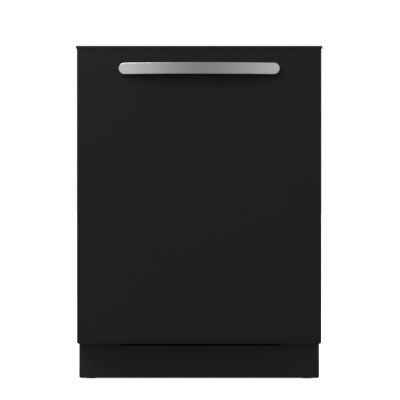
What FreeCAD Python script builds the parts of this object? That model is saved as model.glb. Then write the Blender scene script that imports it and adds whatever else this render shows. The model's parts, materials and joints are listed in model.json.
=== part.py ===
import FreeCAD, Part
import math
import os
from FreeCAD import Vector

# Built-in dishwasher, 24 inch class, hidden controls on the door's top edge.
# Millimetres.  X to the right, the door faces -Y, Z up.  The origin is on the
# floor, at the centre of the whole machine's footprint.

# ---- Driving dimensions -------------------------------------------------
WIDTH = 606.0            # console lip, the widest piece
HEIGHT = 825.0           # floor to the top of the console
HANDLE_REACH = 32.0      # handle's bow in front of the door's face
BODY_DEPTH = 622.0       # door's face to the drain spigot's end
DOOR_WIDTH = 601.0
DOOR_BOTTOM = 92.2
LIP_HEIGHT = 6.5         # console lip above the door's skin
KICK_RECESS = 70.0       # toe space behind the door's face
TUB_WIDTH = 562.0        # inside
TUB_FLOOR = 148.0        # track that the lower rack's wheels roll on
TUB_CEILING = 798.0
SHEET = 2.0              # pressed tub sheet
RUN_GAP = 0.3            # between pieces that slide past each other

# ---- Places worked out from them ----------------------------------------
DEPTH = BODY_DEPTH + HANDLE_REACH
FRONT = -DEPTH / 2
REAR = DEPTH / 2
DOOR_FACE = FRONT + HANDLE_REACH
DOOR_HALF = DOOR_WIDTH / 2
DOOR_TOP = HEIGHT - LIP_HEIGHT
KICK_FACE = DOOR_FACE + KICK_RECESS
SEAL_FACE = DOOR_FACE + 46.5         # door liner's rim, against the gasket
FRAME_FACE = DOOR_FACE + 53.0        # front face of the tub's frame
TUB_FRONT = FRAME_FACE + 4.0
TUB_REAR = DOOR_FACE + 589.0         # inside face of the rear wall
TUB_HALF = TUB_WIDTH / 2
PIVOT_Y = DOOR_FACE + 33.0           # door hinge
PIVOT_Z = DOOR_BOTTOM + 8.8
RAIL_OUT = 297.0                     # outside of the base rails
RAIL_TOP = 112.0
SUMP_Y = 30.0


# ---- Small helpers ------------------------------------------------------
def block(x0, x1, y0, y1, z0, z1):
    """A box between two corners."""
    return Part.makeBox(x1 - x0, y1 - y0, z1 - z0, Vector(x0, y0, z0))


def rod(radius, start, end):
    """A round bar from one point to another."""
    a, b = Vector(*start), Vector(*end)
    return Part.makeCylinder(radius, (b - a).Length, a, b - a)


def ring(outer, inner, start, end):
    """A tube with plain ends."""
    return rod(outer, start, end).cut(rod(inner, start, end))


def mirrored(shape):
    """The same piece on the other side of the machine."""
    return shape.mirror(Vector(0, 0, 0), Vector(1, 0, 0))


def pair(shape):
    """A right-hand piece and its left-hand twin."""
    return [shape, mirrored(shape)]


def fillet(shape, radius, chosen):
    """Round the edges that chosen(edge's bounding box) picks."""
    edges = [edge for edge in shape.Edges if chosen(edge.BoundBox)]
    return shape.makeFillet(radius, edges)


def along(box, axis):
    """True for a straight edge along one axis, X, Y or Z."""
    lengths = {"X": box.XLength, "Y": box.YLength, "Z": box.ZLength}
    others = [size for name, size in lengths.items() if name != axis]
    return lengths[axis] > 0.5 and max(others) < 1e-4


def piped(points, radius, bend):
    """A solid round pipe: straight runs joined by tangent arcs."""
    corners = [Vector(*point) for point in points]
    edges = []
    last = corners[0]
    for before, corner, after in zip(corners, corners[1:], corners[2:]):
        u = (corner - before).normalize()
        w = (after - corner).normalize()
        half_turn = math.acos(max(-1.0, min(1.0, u.dot(w)))) / 2
        cut_back = bend * math.tan(half_turn)
        first, final = corner - u * cut_back, corner + w * cut_back
        inward = (w - u).normalize()
        middle = corner + inward * (bend / math.cos(half_turn) - bend)
        edges.append(Part.LineSegment(last, first).toShape())
        edges.append(Part.Arc(first, middle, final).toShape())
        last = final
    edges.append(Part.LineSegment(last, corners[-1]).toShape())
    path = Part.Wire(edges)
    start_way = corners[1] - corners[0]
    profile = Part.Wire(Part.makeCircle(radius, corners[0], start_way))
    return path.makePipeShell([profile], True, True)


def hexagon(radius, centre, way):
    """A hexagonal prism that starts at centre and runs along way."""
    side = Vector(0, 1, 0) if abs(way.z) > abs(way.y) else Vector(0, 0, 1)
    turn = FreeCAD.Rotation(way, 60)
    arm = side * radius
    corners = []
    for _ in range(6):
        corners.append(centre + arm)
        arm = turn.multVec(arm)
    return Part.Face(Part.makePolygon(corners + corners[:1])).extrude(way)


def hex_screw(x, face_y, z, shank, length):
    """A flanged hexagon screw driven along +Y into a face."""
    flange = rod(shank * 1.8, (x, face_y - 0.8, z), (x, face_y, z))
    head = hexagon(shank * 1.5, Vector(x, face_y - 2.6, z), Vector(0, 2, 0))
    stem = rod(shank, (x, face_y - 0.5, z), (x, face_y + length, z))
    return flange.fuse(head).fuse(stem)


def export(node, shapes):
    """Write one node; a list of solids becomes one compound."""
    shape = shapes
    if isinstance(shapes, list):
        shape = Part.makeCompound(shapes)
    shape.exportStep("parts/" + node + ".step")


# ---- Tub -----------------------------------------------------------------
BASIN = (200.0, -190.0, 250.0, 134.0)     # half width, front, back, floor
SUMP_HOLE = 62.0
FEED_Y = TUB_REAR - 20.0                  # riser up the rear wall
FEED_RADIUS = 8.0
ROLLER_Y = -205.0                         # roller pair that carries the rails
ROLLER_Z = 532.0
AIR_BREAK = (-60.0, 60.0, 330.0, 520.0)   # front, back, bottom, top
PORT_Z = 460.0                            # the air break's way through the tub's side
PORT_RADIUS = 18.0
STUD_RADIUS = 3.0
STUD_REACH = 12.6
FRAME_TOP = 812.0
BLANKET_BOTTOM = 152.0
FLOAT_X = -238.0
FLOAT_Y = -150.0
FLOAT_STEM = 4.0
ELEMENT_Z = 142.0
ELEMENT_END = (30.0, 232.0)               # terminals, X and Y
TERMINAL_RADIUS = 6.0
LATCH_Y = DOOR_FACE + 32.5
LATCH_Z = 802.5
BRACKET_X = 200.0
BRACKET_HOLE = 2.6
BRACKET_SHEET = 1.5
BRACKET_REACH = 30.0
BRACKET_TOP = 821.5                       # underside of the worktop


def tub_wrapper():
    """Sides, top and rear wall in one pressing, with the two roller studs."""
    outer = block(-TUB_HALF - SHEET, TUB_HALF + SHEET, TUB_FRONT, TUB_REAR + SHEET,
                  TUB_FLOOR, TUB_CEILING + SHEET)
    inside = block(-TUB_HALF, TUB_HALF, TUB_FRONT - 1, TUB_REAR, TUB_FLOOR - 1, TUB_CEILING)
    wrapper = outer.cut(inside)
    air_hole = rod(PORT_RADIUS, (-TUB_HALF - 5, 0, PORT_Z), (-TUB_HALF + 5, 0, PORT_Z))
    wrapper = wrapper.cut(air_hole)
    stud = rod(STUD_RADIUS, (TUB_HALF + 1, ROLLER_Y, ROLLER_Z),
               (TUB_HALF - STUD_REACH, ROLLER_Y, ROLLER_Z))
    for one in pair(stud):
        wrapper = wrapper.fuse(one)
    return wrapper


def tub_floor():
    """Floor with a track each side, a sunk basin and the sump hole."""
    half, front, back, bottom = BASIN
    plate = block(-TUB_HALF - SHEET, TUB_HALF + SHEET, TUB_FRONT, TUB_REAR + SHEET,
                  TUB_FLOOR - SHEET, TUB_FLOOR)
    bowl = block(-half - SHEET, half + SHEET, front - SHEET, back + SHEET,
                 bottom - SHEET, TUB_FLOOR)
    hollow = block(-half, half, front, back, bottom, TUB_FLOOR + 1)
    floor = plate.fuse(bowl).cut(hollow).removeSplitter()
    x_end, y_end = ELEMENT_END
    holes = [(0, SUMP_Y, SUMP_HOLE), (0, FEED_Y, FEED_RADIUS + RUN_GAP),
             (FLOAT_X, FLOAT_Y, FLOAT_STEM + 0.5), (-x_end, y_end, TERMINAL_RADIUS + 0.2),
             (x_end, y_end, TERMINAL_RADIUS + 0.2)]
    for x, y, radius in holes:
        floor = floor.cut(rod(radius, (x, y, bottom - 14), (x, y, TUB_FLOOR + 12)))
    return floor


def tub_front_frame():
    """Flat ring that stiffens the mouth of the tub and carries the gasket."""
    outer = block(-RAIL_OUT, RAIL_OUT, FRAME_FACE, TUB_FRONT, RAIL_TOP, FRAME_TOP)
    mouth = block(-TUB_HALF, TUB_HALF, FRAME_FACE - 1, TUB_FRONT + 1, TUB_FLOOR, TUB_CEILING)
    return outer.cut(mouth)


def tub_gasket():
    """Soft bulb seal round the mouth, pressed by the door's liner."""
    front, inset, lap = SEAL_FACE + 0.5, 4.0, 14.0
    outer = block(-TUB_HALF - lap, TUB_HALF + lap, front, FRAME_FACE,
                  TUB_FLOOR - lap, TUB_CEILING + 8)
    outer = fillet(outer, 12, lambda box: along(box, "Y"))
    mouth = block(-TUB_HALF - inset, TUB_HALF + inset, front - 1, FRAME_FACE + 1,
                  TUB_FLOOR - inset, TUB_CEILING + 1)
    return outer.cut(mouth)


def insulation_blanket():
    """Sound and heat blanket over the tub's sides, top and rear."""
    thick, clear = 8.0, SHEET + 0.4
    front, below = TUB_FRONT + 12, BLANKET_BOTTOM - 12
    outer = block(-TUB_HALF - clear - thick, TUB_HALF + clear + thick, front,
                  TUB_REAR + clear + thick, BLANKET_BOTTOM, TUB_CEILING + clear + thick)
    inside = block(-TUB_HALF - clear, TUB_HALF + clear, front - 1, TUB_REAR + clear,
                   below, TUB_CEILING + clear)
    y0, y1, z0, z1 = AIR_BREAK
    cut_out = block(-RAIL_OUT - 10, -TUB_HALF, y0 - 12, y1 + 12, below, z1 + 12)
    return outer.cut(inside).cut(cut_out)


def latch_striker():
    """Tongue with a window that the door's hook catches."""
    low, high = LATCH_Z + 6, LATCH_Z + 8
    foot = block(-14, 14, FRAME_FACE - 1.5, FRAME_FACE, low - 2, FRAME_TOP)
    tongue = block(-9, 9, FRAME_FACE - 16, FRAME_FACE, low, high)
    window = block(-5, 5, FRAME_FACE - 14.5, FRAME_FACE - 7, low - 1, high + 1)
    return foot.fuse(tongue).cut(window).removeSplitter()


def mounting_brackets():
    """Two angle brackets that screw up into the underside of a worktop."""
    x0, x1 = BRACKET_X - 15, BRACKET_X + 15
    hole_y = TUB_FRONT + 18
    leg = block(x0, x1, TUB_FRONT, TUB_FRONT + BRACKET_SHEET, TUB_CEILING + 3, BRACKET_TOP)
    tab = block(x0, x1, TUB_FRONT, TUB_FRONT + BRACKET_REACH, BRACKET_TOP - BRACKET_SHEET, BRACKET_TOP)
    hole = rod(BRACKET_HOLE, (BRACKET_X, hole_y, BRACKET_TOP - 10), (BRACKET_X, hole_y, BRACKET_TOP + 10))
    return pair(leg.fuse(tab).cut(hole).removeSplitter())


# ---- Base ----------------------------------------------------------------
LEG_X = 270.0
LEG_Y = (-198.0, 268.0)
LEG_STEM = 4.0
PIN_RADIUS = 5.0
PIN_REACH = 12.4
BASE_BOTTOM = 20.0
BASE_REAR = 298.0
RAIL_SHEET = 3.0
BAR_SHEET = 2.0
FLANGE = 27.0
FOOT_FLANGE = 43.0
POST_Y = (262.0, 292.0)
BOSS = 12.0
PAD_RADIUS = 16.0
PAD_HEIGHT = 6.0
STEM_TOP = 58.0
KICK_SCREW_X = 240.0
KICK_SCREW_Z = 91.0
KICK_HALF = 299.5
KICK_BOTTOM = 2.0
KICK_TOP = 96.0
KICK_CORNER = (293.6, 89.8)               # clear of the hinge ears, X and Z
KICK_SIDES = 30.0                         # how far the toe panel's sides turn back
KICK_SHEET = 1.2
VENT_HALF = 190.0                         # air way along the toe panel's top edge
VENT_Z = 83.2
VENT_SLOPE = ((20.0, 2.8), (24.0, 13.8))  # its end, from the bottom corner
SUPPLY_RADIUS = 16.0
SPIGOT_X = -150.0
SPIGOT_Z = 62.0
SPIGOT_RADIUS = 10.0
SPIGOT_BORE = 7.5
FRONT_BAR_BOTTOM = 60.0
SPRING_X = 288.0
SPRING_Z = 98.0
SPRING_FRONT = -200.0
SPRING_REAR = -60.0
HOSE_X = -288.0
HOSE_Y = -10.0
BOX_X = 205.0                             # mains junction box
BOX_Z = 56.0
KNOCKOUT = 11.0
HINGE_EAR = 11.0


def side_rail():
    """Right-hand channel of the base, with its hinge ear and pin."""
    front, inner = KICK_FACE + KICK_SHEET, RAIL_OUT - RAIL_SHEET
    web = block(inner, RAIL_OUT, front, BASE_REAR, BASE_BOTTOM, RAIL_TOP)
    foot_flange = block(RAIL_OUT - FOOT_FLANGE, RAIL_OUT, front, BASE_REAR,
                        BASE_BOTTOM, BASE_BOTTOM + RAIL_SHEET)
    top_flange = block(RAIL_OUT - FLANGE, RAIL_OUT, front + BAR_SHEET, BASE_REAR,
                       RAIL_TOP - RAIL_SHEET, RAIL_TOP)
    post = block(RAIL_OUT - FLANGE, RAIL_OUT - 10, *POST_Y, RAIL_TOP - 1, TUB_FLOOR - SHEET)
    bar = block(inner, RAIL_OUT, PIVOT_Y, KICK_FACE + 2, PIVOT_Z - HINGE_EAR, PIVOT_Z + HINGE_EAR)
    eye = rod(HINGE_EAR, (inner, PIVOT_Y, PIVOT_Z), (RAIL_OUT, PIVOT_Y, PIVOT_Z))
    pin = rod(PIN_RADIUS, (RAIL_OUT - PIN_REACH, PIVOT_Y, PIVOT_Z), (RAIL_OUT, PIVOT_Y, PIVOT_Z))
    rail = web
    for piece in (foot_flange, top_flange, post, bar, eye, pin):
        rail = rail.fuse(piece)
    for y in LEG_Y:
        rail = rail.fuse(block(LEG_X - BOSS, LEG_X + BOSS, y - BOSS, y + BOSS,
                               BASE_BOTTOM, BASE_BOTTOM + BOSS))
        rail = rail.cut(rod(LEG_STEM + 0.1, (LEG_X, y, BASE_BOTTOM - 10), (LEG_X, y, STEM_TOP + 2)))
    peg_y = SPRING_REAR + 5
    peg = rod(2, (SPRING_X - 3, peg_y, SPRING_Z), (RAIL_OUT - 1, peg_y, SPRING_Z))
    return rail.fuse(peg)


def base_frame():
    """Chassis: two side rails, a front and a rear crossmember."""
    frame = side_rail()
    frame = frame.fuse(mirrored(frame))
    front, half = KICK_FACE + KICK_SHEET, RAIL_OUT - 2
    hole_front, hole_back = BASE_REAR - 8, BASE_REAR + 2
    front_bar = block(-half, half, front, front + BAR_SHEET, FRONT_BAR_BOTTOM, KICK_TOP)
    air_way = block(-VENT_HALF - 26, VENT_HALF + 26, KICK_FACE, KICK_FACE + 5, VENT_Z - 2, KICK_TOP + 1)
    rear_bar = block(-half, half, BASE_REAR - BAR_SHEET, BASE_REAR, BASE_BOTTOM, RAIL_TOP)
    outlet = rod(SPIGOT_RADIUS + 0.5, (SPIGOT_X, hole_front, SPIGOT_Z), (SPIGOT_X, hole_back, SPIGOT_Z))
    supply = rod(SUPPLY_RADIUS, (FLOAT_X, hole_front, SPIGOT_Z), (FLOAT_X, hole_back, SPIGOT_Z))
    mains = rod(SUPPLY_RADIUS, (BOX_X, hole_front, BOX_Z), (BOX_X, hole_back, BOX_Z))
    frame = frame.fuse(front_bar).fuse(rear_bar)
    hose_notch = block(HOSE_X - 6, HOSE_X + 19, HOSE_Y - 14, HOSE_Y + 14, RAIL_TOP - 4, RAIL_TOP + 1)
    for hole in (outlet, supply, mains, hose_notch, air_way):
        frame = frame.cut(hole)
    for x in (-KICK_SCREW_X, KICK_SCREW_X):
        frame = frame.cut(rod(2.1, (x, KICK_FACE - 5, KICK_SCREW_Z), (x, KICK_FACE + 5, KICK_SCREW_Z)))
    return frame.removeSplitter()


def kick_plate():
    """Toe panel: a plain front with its sides turned back."""
    half, low = KICK_HALF, KICK_BOTTOM
    outer = block(-half, half, KICK_FACE, KICK_FACE + KICK_SIDES, low, KICK_TOP)
    outer = fillet(outer, 4.5, lambda box: along(box, "Y") and box.ZMax < low + 1)
    outer = fillet(outer, 1.2, lambda box: box.YMax < KICK_FACE + 0.01 and box.ZMin < KICK_TOP - 1)
    inside = block(-half + KICK_SHEET, half - KICK_SHEET, KICK_FACE + KICK_SHEET,
                   KICK_FACE + KICK_SIDES + 1, low - 5, KICK_TOP + 5)
    plate = outer.cut(inside)
    corner_x, corner_z = KICK_CORNER
    corner = block(corner_x, half + 1, KICK_FACE - 1, KICK_FACE + KICK_SIDES + 1, corner_z, KICK_TOP + 1)
    for piece in pair(corner):
        plate = plate.cut(piece)
    right = [(VENT_HALF, VENT_Z)] + [(VENT_HALF + out, VENT_Z + up) for out, up in VENT_SLOPE]
    outline = right + [(-x, z) for x, z in reversed(right)]
    corners = [Vector(x, KICK_FACE - 1, z) for x, z in outline]
    air_way = Part.Face(Part.makePolygon(corners + corners[:1])).extrude(Vector(0, 5, 0))
    plate = plate.cut(air_way)
    for x in (-KICK_SCREW_X, KICK_SCREW_X):
        plate = plate.cut(rod(2.3, (x, KICK_FACE - 5, KICK_SCREW_Z), (x, KICK_FACE + 5, KICK_SCREW_Z)))
    return plate


def kick_plate_screws():
    """Two hexagon-headed screws under the door's edge."""
    places = (-KICK_SCREW_X, KICK_SCREW_X)
    return [hex_screw(x, KICK_FACE, KICK_SCREW_Z, 2.0, 8.0) for x in places]


def leveling_leg(x, y):
    """Threaded stem with a round pad."""
    pad = rod(PAD_RADIUS, (x, y, 0), (x, y, PAD_HEIGHT))
    pad = fillet(pad, 1.5, lambda box: box.ZLength < 1e-3 and box.ZMax > PAD_HEIGHT - 1)
    stem = rod(LEG_STEM, (x, y, PAD_HEIGHT - 1), (x, y, STEM_TOP))
    nut = hexagon(7.5, Vector(x, y, PAD_HEIGHT), Vector(0, 0, 6))
    return pad.fuse(stem).fuse(nut)


# ---- Wash system ---------------------------------------------------------
PUMP_Z = 72.0
WASH_PUMP_X = (84.0, 118.0)
DRAIN_PUMP_X = (-112.0, -84.0)
FILTER_X = 38.0
FILTER_RADIUS = 22.0
LOWER_ARM_Z = 158.0
UPPER_ARM_Z = 440.0
TOP_ARM_Z = 760.0
MANIFOLD_Z = 463.0
MANIFOLD_Y = 257.0                        # where the rack's pipe meets the riser's port
WASH_PUMP_RADIUS = 40.0
DRAIN_PUMP_RADIUS = 24.0
SPINDLE = 6.0
HUB_Y = 20.0                              # axis of the upper and top arms
BOX_HALF = (35.0, 28.0)                   # X, Z
BOX_Y = (-211.0, -150.0)
BOX_SHEET = 1.5
VALVE_Y = -100.0
ARM_THICK = 10.0
THROAT = 30.0                             # outside radius
SUMP_WALL = 4.0
CUP_BOTTOM = 96.0
FILTER_BOTTOM = 106.0
FILTER_TOP = 148.0
POST_RADIUS = 11.0
KNOB_RADIUS = 9.0
SHAFT_RADIUS = 4.0
SPIGOT_INSIDE = 285.0                     # Y of its end at the hose
PORT_STEPS = (380.0, 430.0, 480.0)        # grooves across the air break
DISC_RADIUS = 96.0


def sump():
    """Cup under the basin: a throat for both pumps, and the lower arm's post."""
    low, inner = CUP_BOTTOM, SUMP_HOLE - 2
    throat_low = PUMP_Z - THROAT
    cup = ring(75, inner, (0, SUMP_Y, low), (0, SUMP_Y, BASIN[3] - SHEET))
    floor = rod(inner + 1, (0, SUMP_Y, low), (0, SUMP_Y, low + SUMP_WALL))
    throat = ring(THROAT, THROAT - SUMP_WALL, (0, SUMP_Y, throat_low + SUMP_WALL), (0, SUMP_Y, low + 2))
    end = rod(THROAT, (0, SUMP_Y, throat_low), (0, SUMP_Y, throat_low + SUMP_WALL))
    body = cup.fuse(floor).fuse(throat).fuse(end)
    body = body.cut(rod(THROAT - SUMP_WALL, (0, SUMP_Y, low - 6), (0, SUMP_Y, low + 14)))
    post = rod(POST_RADIUS, (0, SUMP_Y, low + 4), (0, SUMP_Y, LOWER_ARM_Z - 0.6))
    spindle = rod(SPINDLE, (0, SUMP_Y, LOWER_ARM_Z - 1), (0, SUMP_Y, LOWER_ARM_Z + 17))
    cap = rod(KNOB_RADIUS, (0, SUMP_Y, LOWER_ARM_Z + 15.6), (0, SUMP_Y, LOWER_ARM_Z + 19))
    spokes = block(-inner - 1, inner + 1, SUMP_Y - 3, SUMP_Y + 3, low + 2, low + 8)
    for piece in (post, spindle, cap, spokes):
        body = body.fuse(piece)
    return body.removeSplitter()


def filter_plate():
    """Fine filter disc on the basin's floor."""
    low = BASIN[3]
    disc = rod(DISC_RADIUS, (0, SUMP_Y, low), (0, SUMP_Y, low + 2))
    rim = ring(DISC_RADIUS, DISC_RADIUS - 3, (0, SUMP_Y, low + 1), (0, SUMP_Y, low + 4.5))
    disc = disc.fuse(rim)
    for x, radius in ((FILTER_X, FILTER_RADIUS + 0.4), (0, POST_RADIUS + RUN_GAP)):
        disc = disc.cut(rod(radius, (x, SUMP_Y, low - 4), (x, SUMP_Y, low + 6)))
    return disc


def filter_cylinder():
    """Cup filter that twists out, with a grip across its top."""
    x, low, high, inner = FILTER_X, FILTER_BOTTOM, FILTER_TOP, FILTER_RADIUS - 1
    wall = ring(FILTER_RADIUS, FILTER_RADIUS - 2, (x, SUMP_Y, low), (x, SUMP_Y, high))
    lid = rod(inner, (x, SUMP_Y, high - 4), (x, SUMP_Y, high - 1))
    base = rod(inner, (x, SUMP_Y, low), (x, SUMP_Y, low + 2))
    grip = block(x - 15, x + 15, SUMP_Y - 2.5, SUMP_Y + 2.5, high - 2, high + 6)
    return wall.fuse(lid).fuse(base).fuse(grip)


def spray_arm(reach, centre_y, low, thick, bore):
    """Two blades on a hub; the second blade is the first turned half round."""
    half_outline = [(24, -16), (reach * 0.7, -15), (reach - 12, -9), (reach, -2), (reach, 4),
                    (reach - 14, 10), (reach * 0.7, 11), (24, 14)]
    outline = half_outline + [(-x, -y) for x, y in half_outline]
    corners = [Vector(x, y, low + 1.2) for x, y in outline]
    blades = Part.Face(Part.makePolygon(corners + corners[:1])).extrude(Vector(0, 0, thick - 1.2))
    blades = fillet(blades, 2.5, lambda box: box.ZLength < 1e-3)
    hub = rod(24, (0, 0, low), (0, 0, low + thick + 1.2))
    collar = rod(14, (0, 0, low), (0, 0, low + thick + 5))
    arm = blades.fuse(hub).fuse(collar)
    for step in range(5):
        x = reach * (0.34 + 0.13 * step)
        for side in (-1, 1):
            boss = rod(4.0, (side * x, -2 * side, low + thick - 2),
                       (side * x, -2 * side, low + thick + 1.2))
            arm = arm.fuse(boss)
    arm = arm.cut(rod(bore, (0, 0, low - 5), (0, 0, low + thick + 10)))
    arm.translate(Vector(0, centre_y, 0))
    return arm


def heating_element():
    """Sheathed heater looped round the basin, with two floor terminals."""
    x_end, y_end = ELEMENT_END
    z, half, front = ELEMENT_Z, 175.0, -165.0
    route = [(-x_end, y_end, z), (-half, y_end, z), (-half, front, z),
             (half, front, z), (half, y_end, z), (x_end, y_end, z)]
    loop = piped(route, 3.5, 50)
    for x in (-x_end, x_end):
        loop = loop.fuse(rod(TERMINAL_RADIUS, (x, y_end, z - 30), (x, y_end, z + 5)))
    return loop


def floating_dome():
    """Overfill float: a dome on a thin stem."""
    dome = rod(16, (FLOAT_X, FLOAT_Y, TUB_FLOOR + 1), (FLOAT_X, FLOAT_Y, TUB_FLOOR + 24))
    dome = fillet(dome, 7, lambda box: box.ZLength < 1e-3 and box.ZMin > TUB_FLOOR + 20)
    return dome.fuse(rod(FLOAT_STEM, (FLOAT_X, FLOAT_Y, TUB_FLOOR - 30), (FLOAT_X, FLOAT_Y, TUB_FLOOR + 2)))


def feed_tube():
    """Riser from the wash pump up the rear wall to the top arm."""
    pump_x = sum(WASH_PUMP_X) / 2
    top = TUB_CEILING - 10
    route = [(pump_x, SUMP_Y + WASH_PUMP_RADIUS + 0.4, PUMP_Z), (pump_x, 190, PUMP_Z),
             (0, FEED_Y, PUMP_Z), (0, FEED_Y, top), (0, HUB_Y, top)]
    tube = piped(route, FEED_RADIUS, 24)
    port = rod(FEED_RADIUS, (0, FEED_Y, MANIFOLD_Z), (0, MANIFOLD_Y, MANIFOLD_Z))
    head = rod(FEED_RADIUS, (0, HUB_Y, TOP_ARM_Z + 19), (0, HUB_Y, TUB_CEILING - 2))
    spindle = rod(SPINDLE, (0, HUB_Y, TOP_ARM_Z - 2), (0, HUB_Y, TOP_ARM_Z + 20))
    knob = rod(KNOB_RADIUS, (0, HUB_Y, TOP_ARM_Z - 6), (0, HUB_Y, TOP_ARM_Z - 0.6))
    for piece in (port, head, spindle, knob):
        tube = tube.fuse(piece)
    return tube


def pump_housing(x0, x1, radius, wall, neck, neck_from):
    """Volute shell on the X axis with a neck to the sump's throat."""
    shell = ring(radius, radius - wall, (x0, SUMP_Y, PUMP_Z), (x1, SUMP_Y, PUMP_Z))
    ends = [rod(radius, (x0, SUMP_Y, PUMP_Z), (x0 + wall, SUMP_Y, PUMP_Z)),
            rod(radius, (x1 - wall, SUMP_Y, PUMP_Z), (x1, SUMP_Y, PUMP_Z))]
    near, far = (x0, x1) if neck_from > 0 else (x1, x0)
    pipe = rod(neck, (near, SUMP_Y, PUMP_Z), (neck_from, SUMP_Y, PUMP_Z))
    body = shell.fuse(ends[0]).fuse(ends[1]).fuse(pipe)
    throat = rod(THROAT, (0, SUMP_Y, PUMP_Z - 42), (0, SUMP_Y, CUP_BOTTOM))
    bore = rod(neck - 2, (near + math.copysign(wall + 1, near), SUMP_Y, PUMP_Z),
               (0, SUMP_Y, PUMP_Z))
    shaft_way = rod(SHAFT_RADIUS + 0.1, ((x0 + x1) / 2, SUMP_Y, PUMP_Z),
                    (far + math.copysign(1, far), SUMP_Y, PUMP_Z))
    return body.cut(throat).cut(bore).cut(shaft_way)


def impeller(x0, x1, radius, shaft_end, vanes):
    """Disc with straight vanes and its shaft."""
    disc = rod(radius, (x0, SUMP_Y, PUMP_Z), (x0 + 2, SUMP_Y, PUMP_Z))
    hub = rod(8, (x0, SUMP_Y, PUMP_Z), (x1, SUMP_Y, PUMP_Z))
    shaft = rod(SHAFT_RADIUS, (x0, SUMP_Y, PUMP_Z), (shaft_end, SUMP_Y, PUMP_Z))
    wheel = disc.fuse(hub).fuse(shaft)
    for step in range(vanes):
        vane = block(min(x0, x1), max(x0, x1), SUMP_Y - 1, SUMP_Y + 1, PUMP_Z + 5, PUMP_Z + radius - 0.5)
        vane.rotate(Vector(0, SUMP_Y, PUMP_Z), Vector(1, 0, 0), 360.0 * step / vanes)
        wheel = wheel.fuse(vane)
    return wheel


def pump_motor(x0, x1, radius):
    """Motor body beside its pump, with a terminal block."""
    body = rod(radius, (x0, SUMP_Y, PUMP_Z), (x1, SUMP_Y, PUMP_Z))
    body = fillet(body, 4, lambda box: box.XLength < 1e-3 and abs(box.XMax - x1) < 0.1)
    middle = (x0 + x1) / 2
    block_top = block(middle - 10, middle + 10, SUMP_Y - 12, SUMP_Y + 12,
                      PUMP_Z - radius - 8, PUMP_Z - radius + 6)
    return body.fuse(block_top)


def drain_hose():
    """Corrugated hose from the drain pump to the rear spigot."""
    x = sum(DRAIN_PUMP_X) / 2
    route = [(x, SUMP_Y + 46.4, PUMP_Z), (x, 140, PUMP_Z), (SPIGOT_X, 230, SPIGOT_Z),
             (SPIGOT_X, SPIGOT_INSIDE - 0.4, SPIGOT_Z)]
    return piped(route, 8.5, 40)


def drain_spigot():
    """Outlet through the rear bar, with a flange outside."""
    pipe = ring(SPIGOT_RADIUS, SPIGOT_BORE, (SPIGOT_X, SPIGOT_INSIDE, SPIGOT_Z), (SPIGOT_X, REAR, SPIGOT_Z))
    flange = ring(15, SPIGOT_BORE, (SPIGOT_X, BASE_REAR, SPIGOT_Z), (SPIGOT_X, BASE_REAR + 3, SPIGOT_Z))
    return pipe.fuse(flange)


def inlet_valve():
    """Solenoid valve with its threaded inlet facing the rear."""
    x, y, z = FLOAT_X, VALVE_Y, SPIGOT_Z
    body = fillet(block(x - 15, x + 15, y - 18, y + 18, z - 17, z + 17), 2, lambda box: True)
    coil = rod(11, (x + 14, y, z), (x + 38, y, z))
    thread = ring(13.2, 9.0, (x, y + 17, z), (x, y + 36, z))
    outlet = rod(6, (x, y, z + 16), (x, y, z + 24))
    return body.fuse(coil).fuse(thread).fuse(outlet)


def inlet_hose():
    """Fill hose from the valve up the tub's side to the air break."""
    level = SPIGOT_Z + 42
    route = [(FLOAT_X, VALVE_Y, SPIGOT_Z + 24.3), (FLOAT_X, VALVE_Y, level),
             (HOSE_X, HOSE_Y, level), (HOSE_X, HOSE_Y, AIR_BREAK[2] - 0.3)]
    return piped(route, 4.5, 13)


def air_break():
    """Moulded fill chamber on the tub's side, clamped through its wall."""
    y0, y1, z0, z1 = AIR_BREAK
    wall = -TUB_HALF - SHEET
    chamber = block(-RAIL_OUT, wall - 0.5, y0, y1, z0, z1)
    chamber = fillet(chamber, 8, lambda box: along(box, "X"))
    chamber = fillet(chamber, 2, lambda box: box.XMax < -RAIL_OUT + 0.01)
    for z in PORT_STEPS:
        chamber = chamber.cut(block(-RAIL_OUT - 1, -RAIL_OUT + 3, y0 + 14, y1 - 14, z - 4, z + 4))
    port = rod(PORT_RADIUS - 0.4, (wall - 1, 0, PORT_Z), (-TUB_HALF + 4, 0, PORT_Z))
    nut = hexagon(24, Vector(-TUB_HALF, 0, PORT_Z), Vector(4, 0, 0))
    return chamber.fuse(port).fuse(nut)


def junction_box():
    """Open-fronted steel box with a cable knockout in its rear wall."""
    half_x, half_z = BOX_HALF
    x0, x1, z0, z1 = BOX_X - half_x, BOX_X + half_x, BOX_Z - half_z, BOX_Z + half_z
    y0, y1 = BOX_Y
    box = block(x0, x1, y0, y1, z0, z1)
    box = box.cut(block(x0 + BOX_SHEET, x1 - BOX_SHEET, y0 - 1, y1 - BOX_SHEET,
                        z0 + BOX_SHEET, z1 - BOX_SHEET))
    return box.cut(rod(KNOCKOUT, (BOX_X, y1 - 5, BOX_Z), (BOX_X, y1 + 5, BOX_Z)))


def junction_box_cover():
    """Flat lid over the box's front, with two screw dimples."""
    half_x, half_z = BOX_HALF
    front = BOX_Y[0] - BOX_SHEET
    lid = block(BOX_X - half_x - 2, BOX_X + half_x + 2, front, BOX_Y[0],
                BOX_Z - half_z - 2, BOX_Z + half_z + 2)
    for x in (BOX_X - 24, BOX_X + 24):
        lid = lid.fuse(rod(3, (x, front - 1.5, BOX_Z), (x, front + 0.5, BOX_Z)))
    return lid


def door_springs():
    """Counterbalance springs with the cords that pull on the hinge arms."""
    x, z, front = SPRING_X, SPRING_Z, SPRING_FRONT
    coil = ring(5, 3.8, (x, front, z), (x, SPRING_REAR, z))
    end = rod(5, (x, front, z), (x, front + 2, z))
    cord = rod(1.2, (x, SEAL_FACE + 3.5, z), (x, front + 1, z))
    return pair(coil.fuse(end).fuse(cord))


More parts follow.
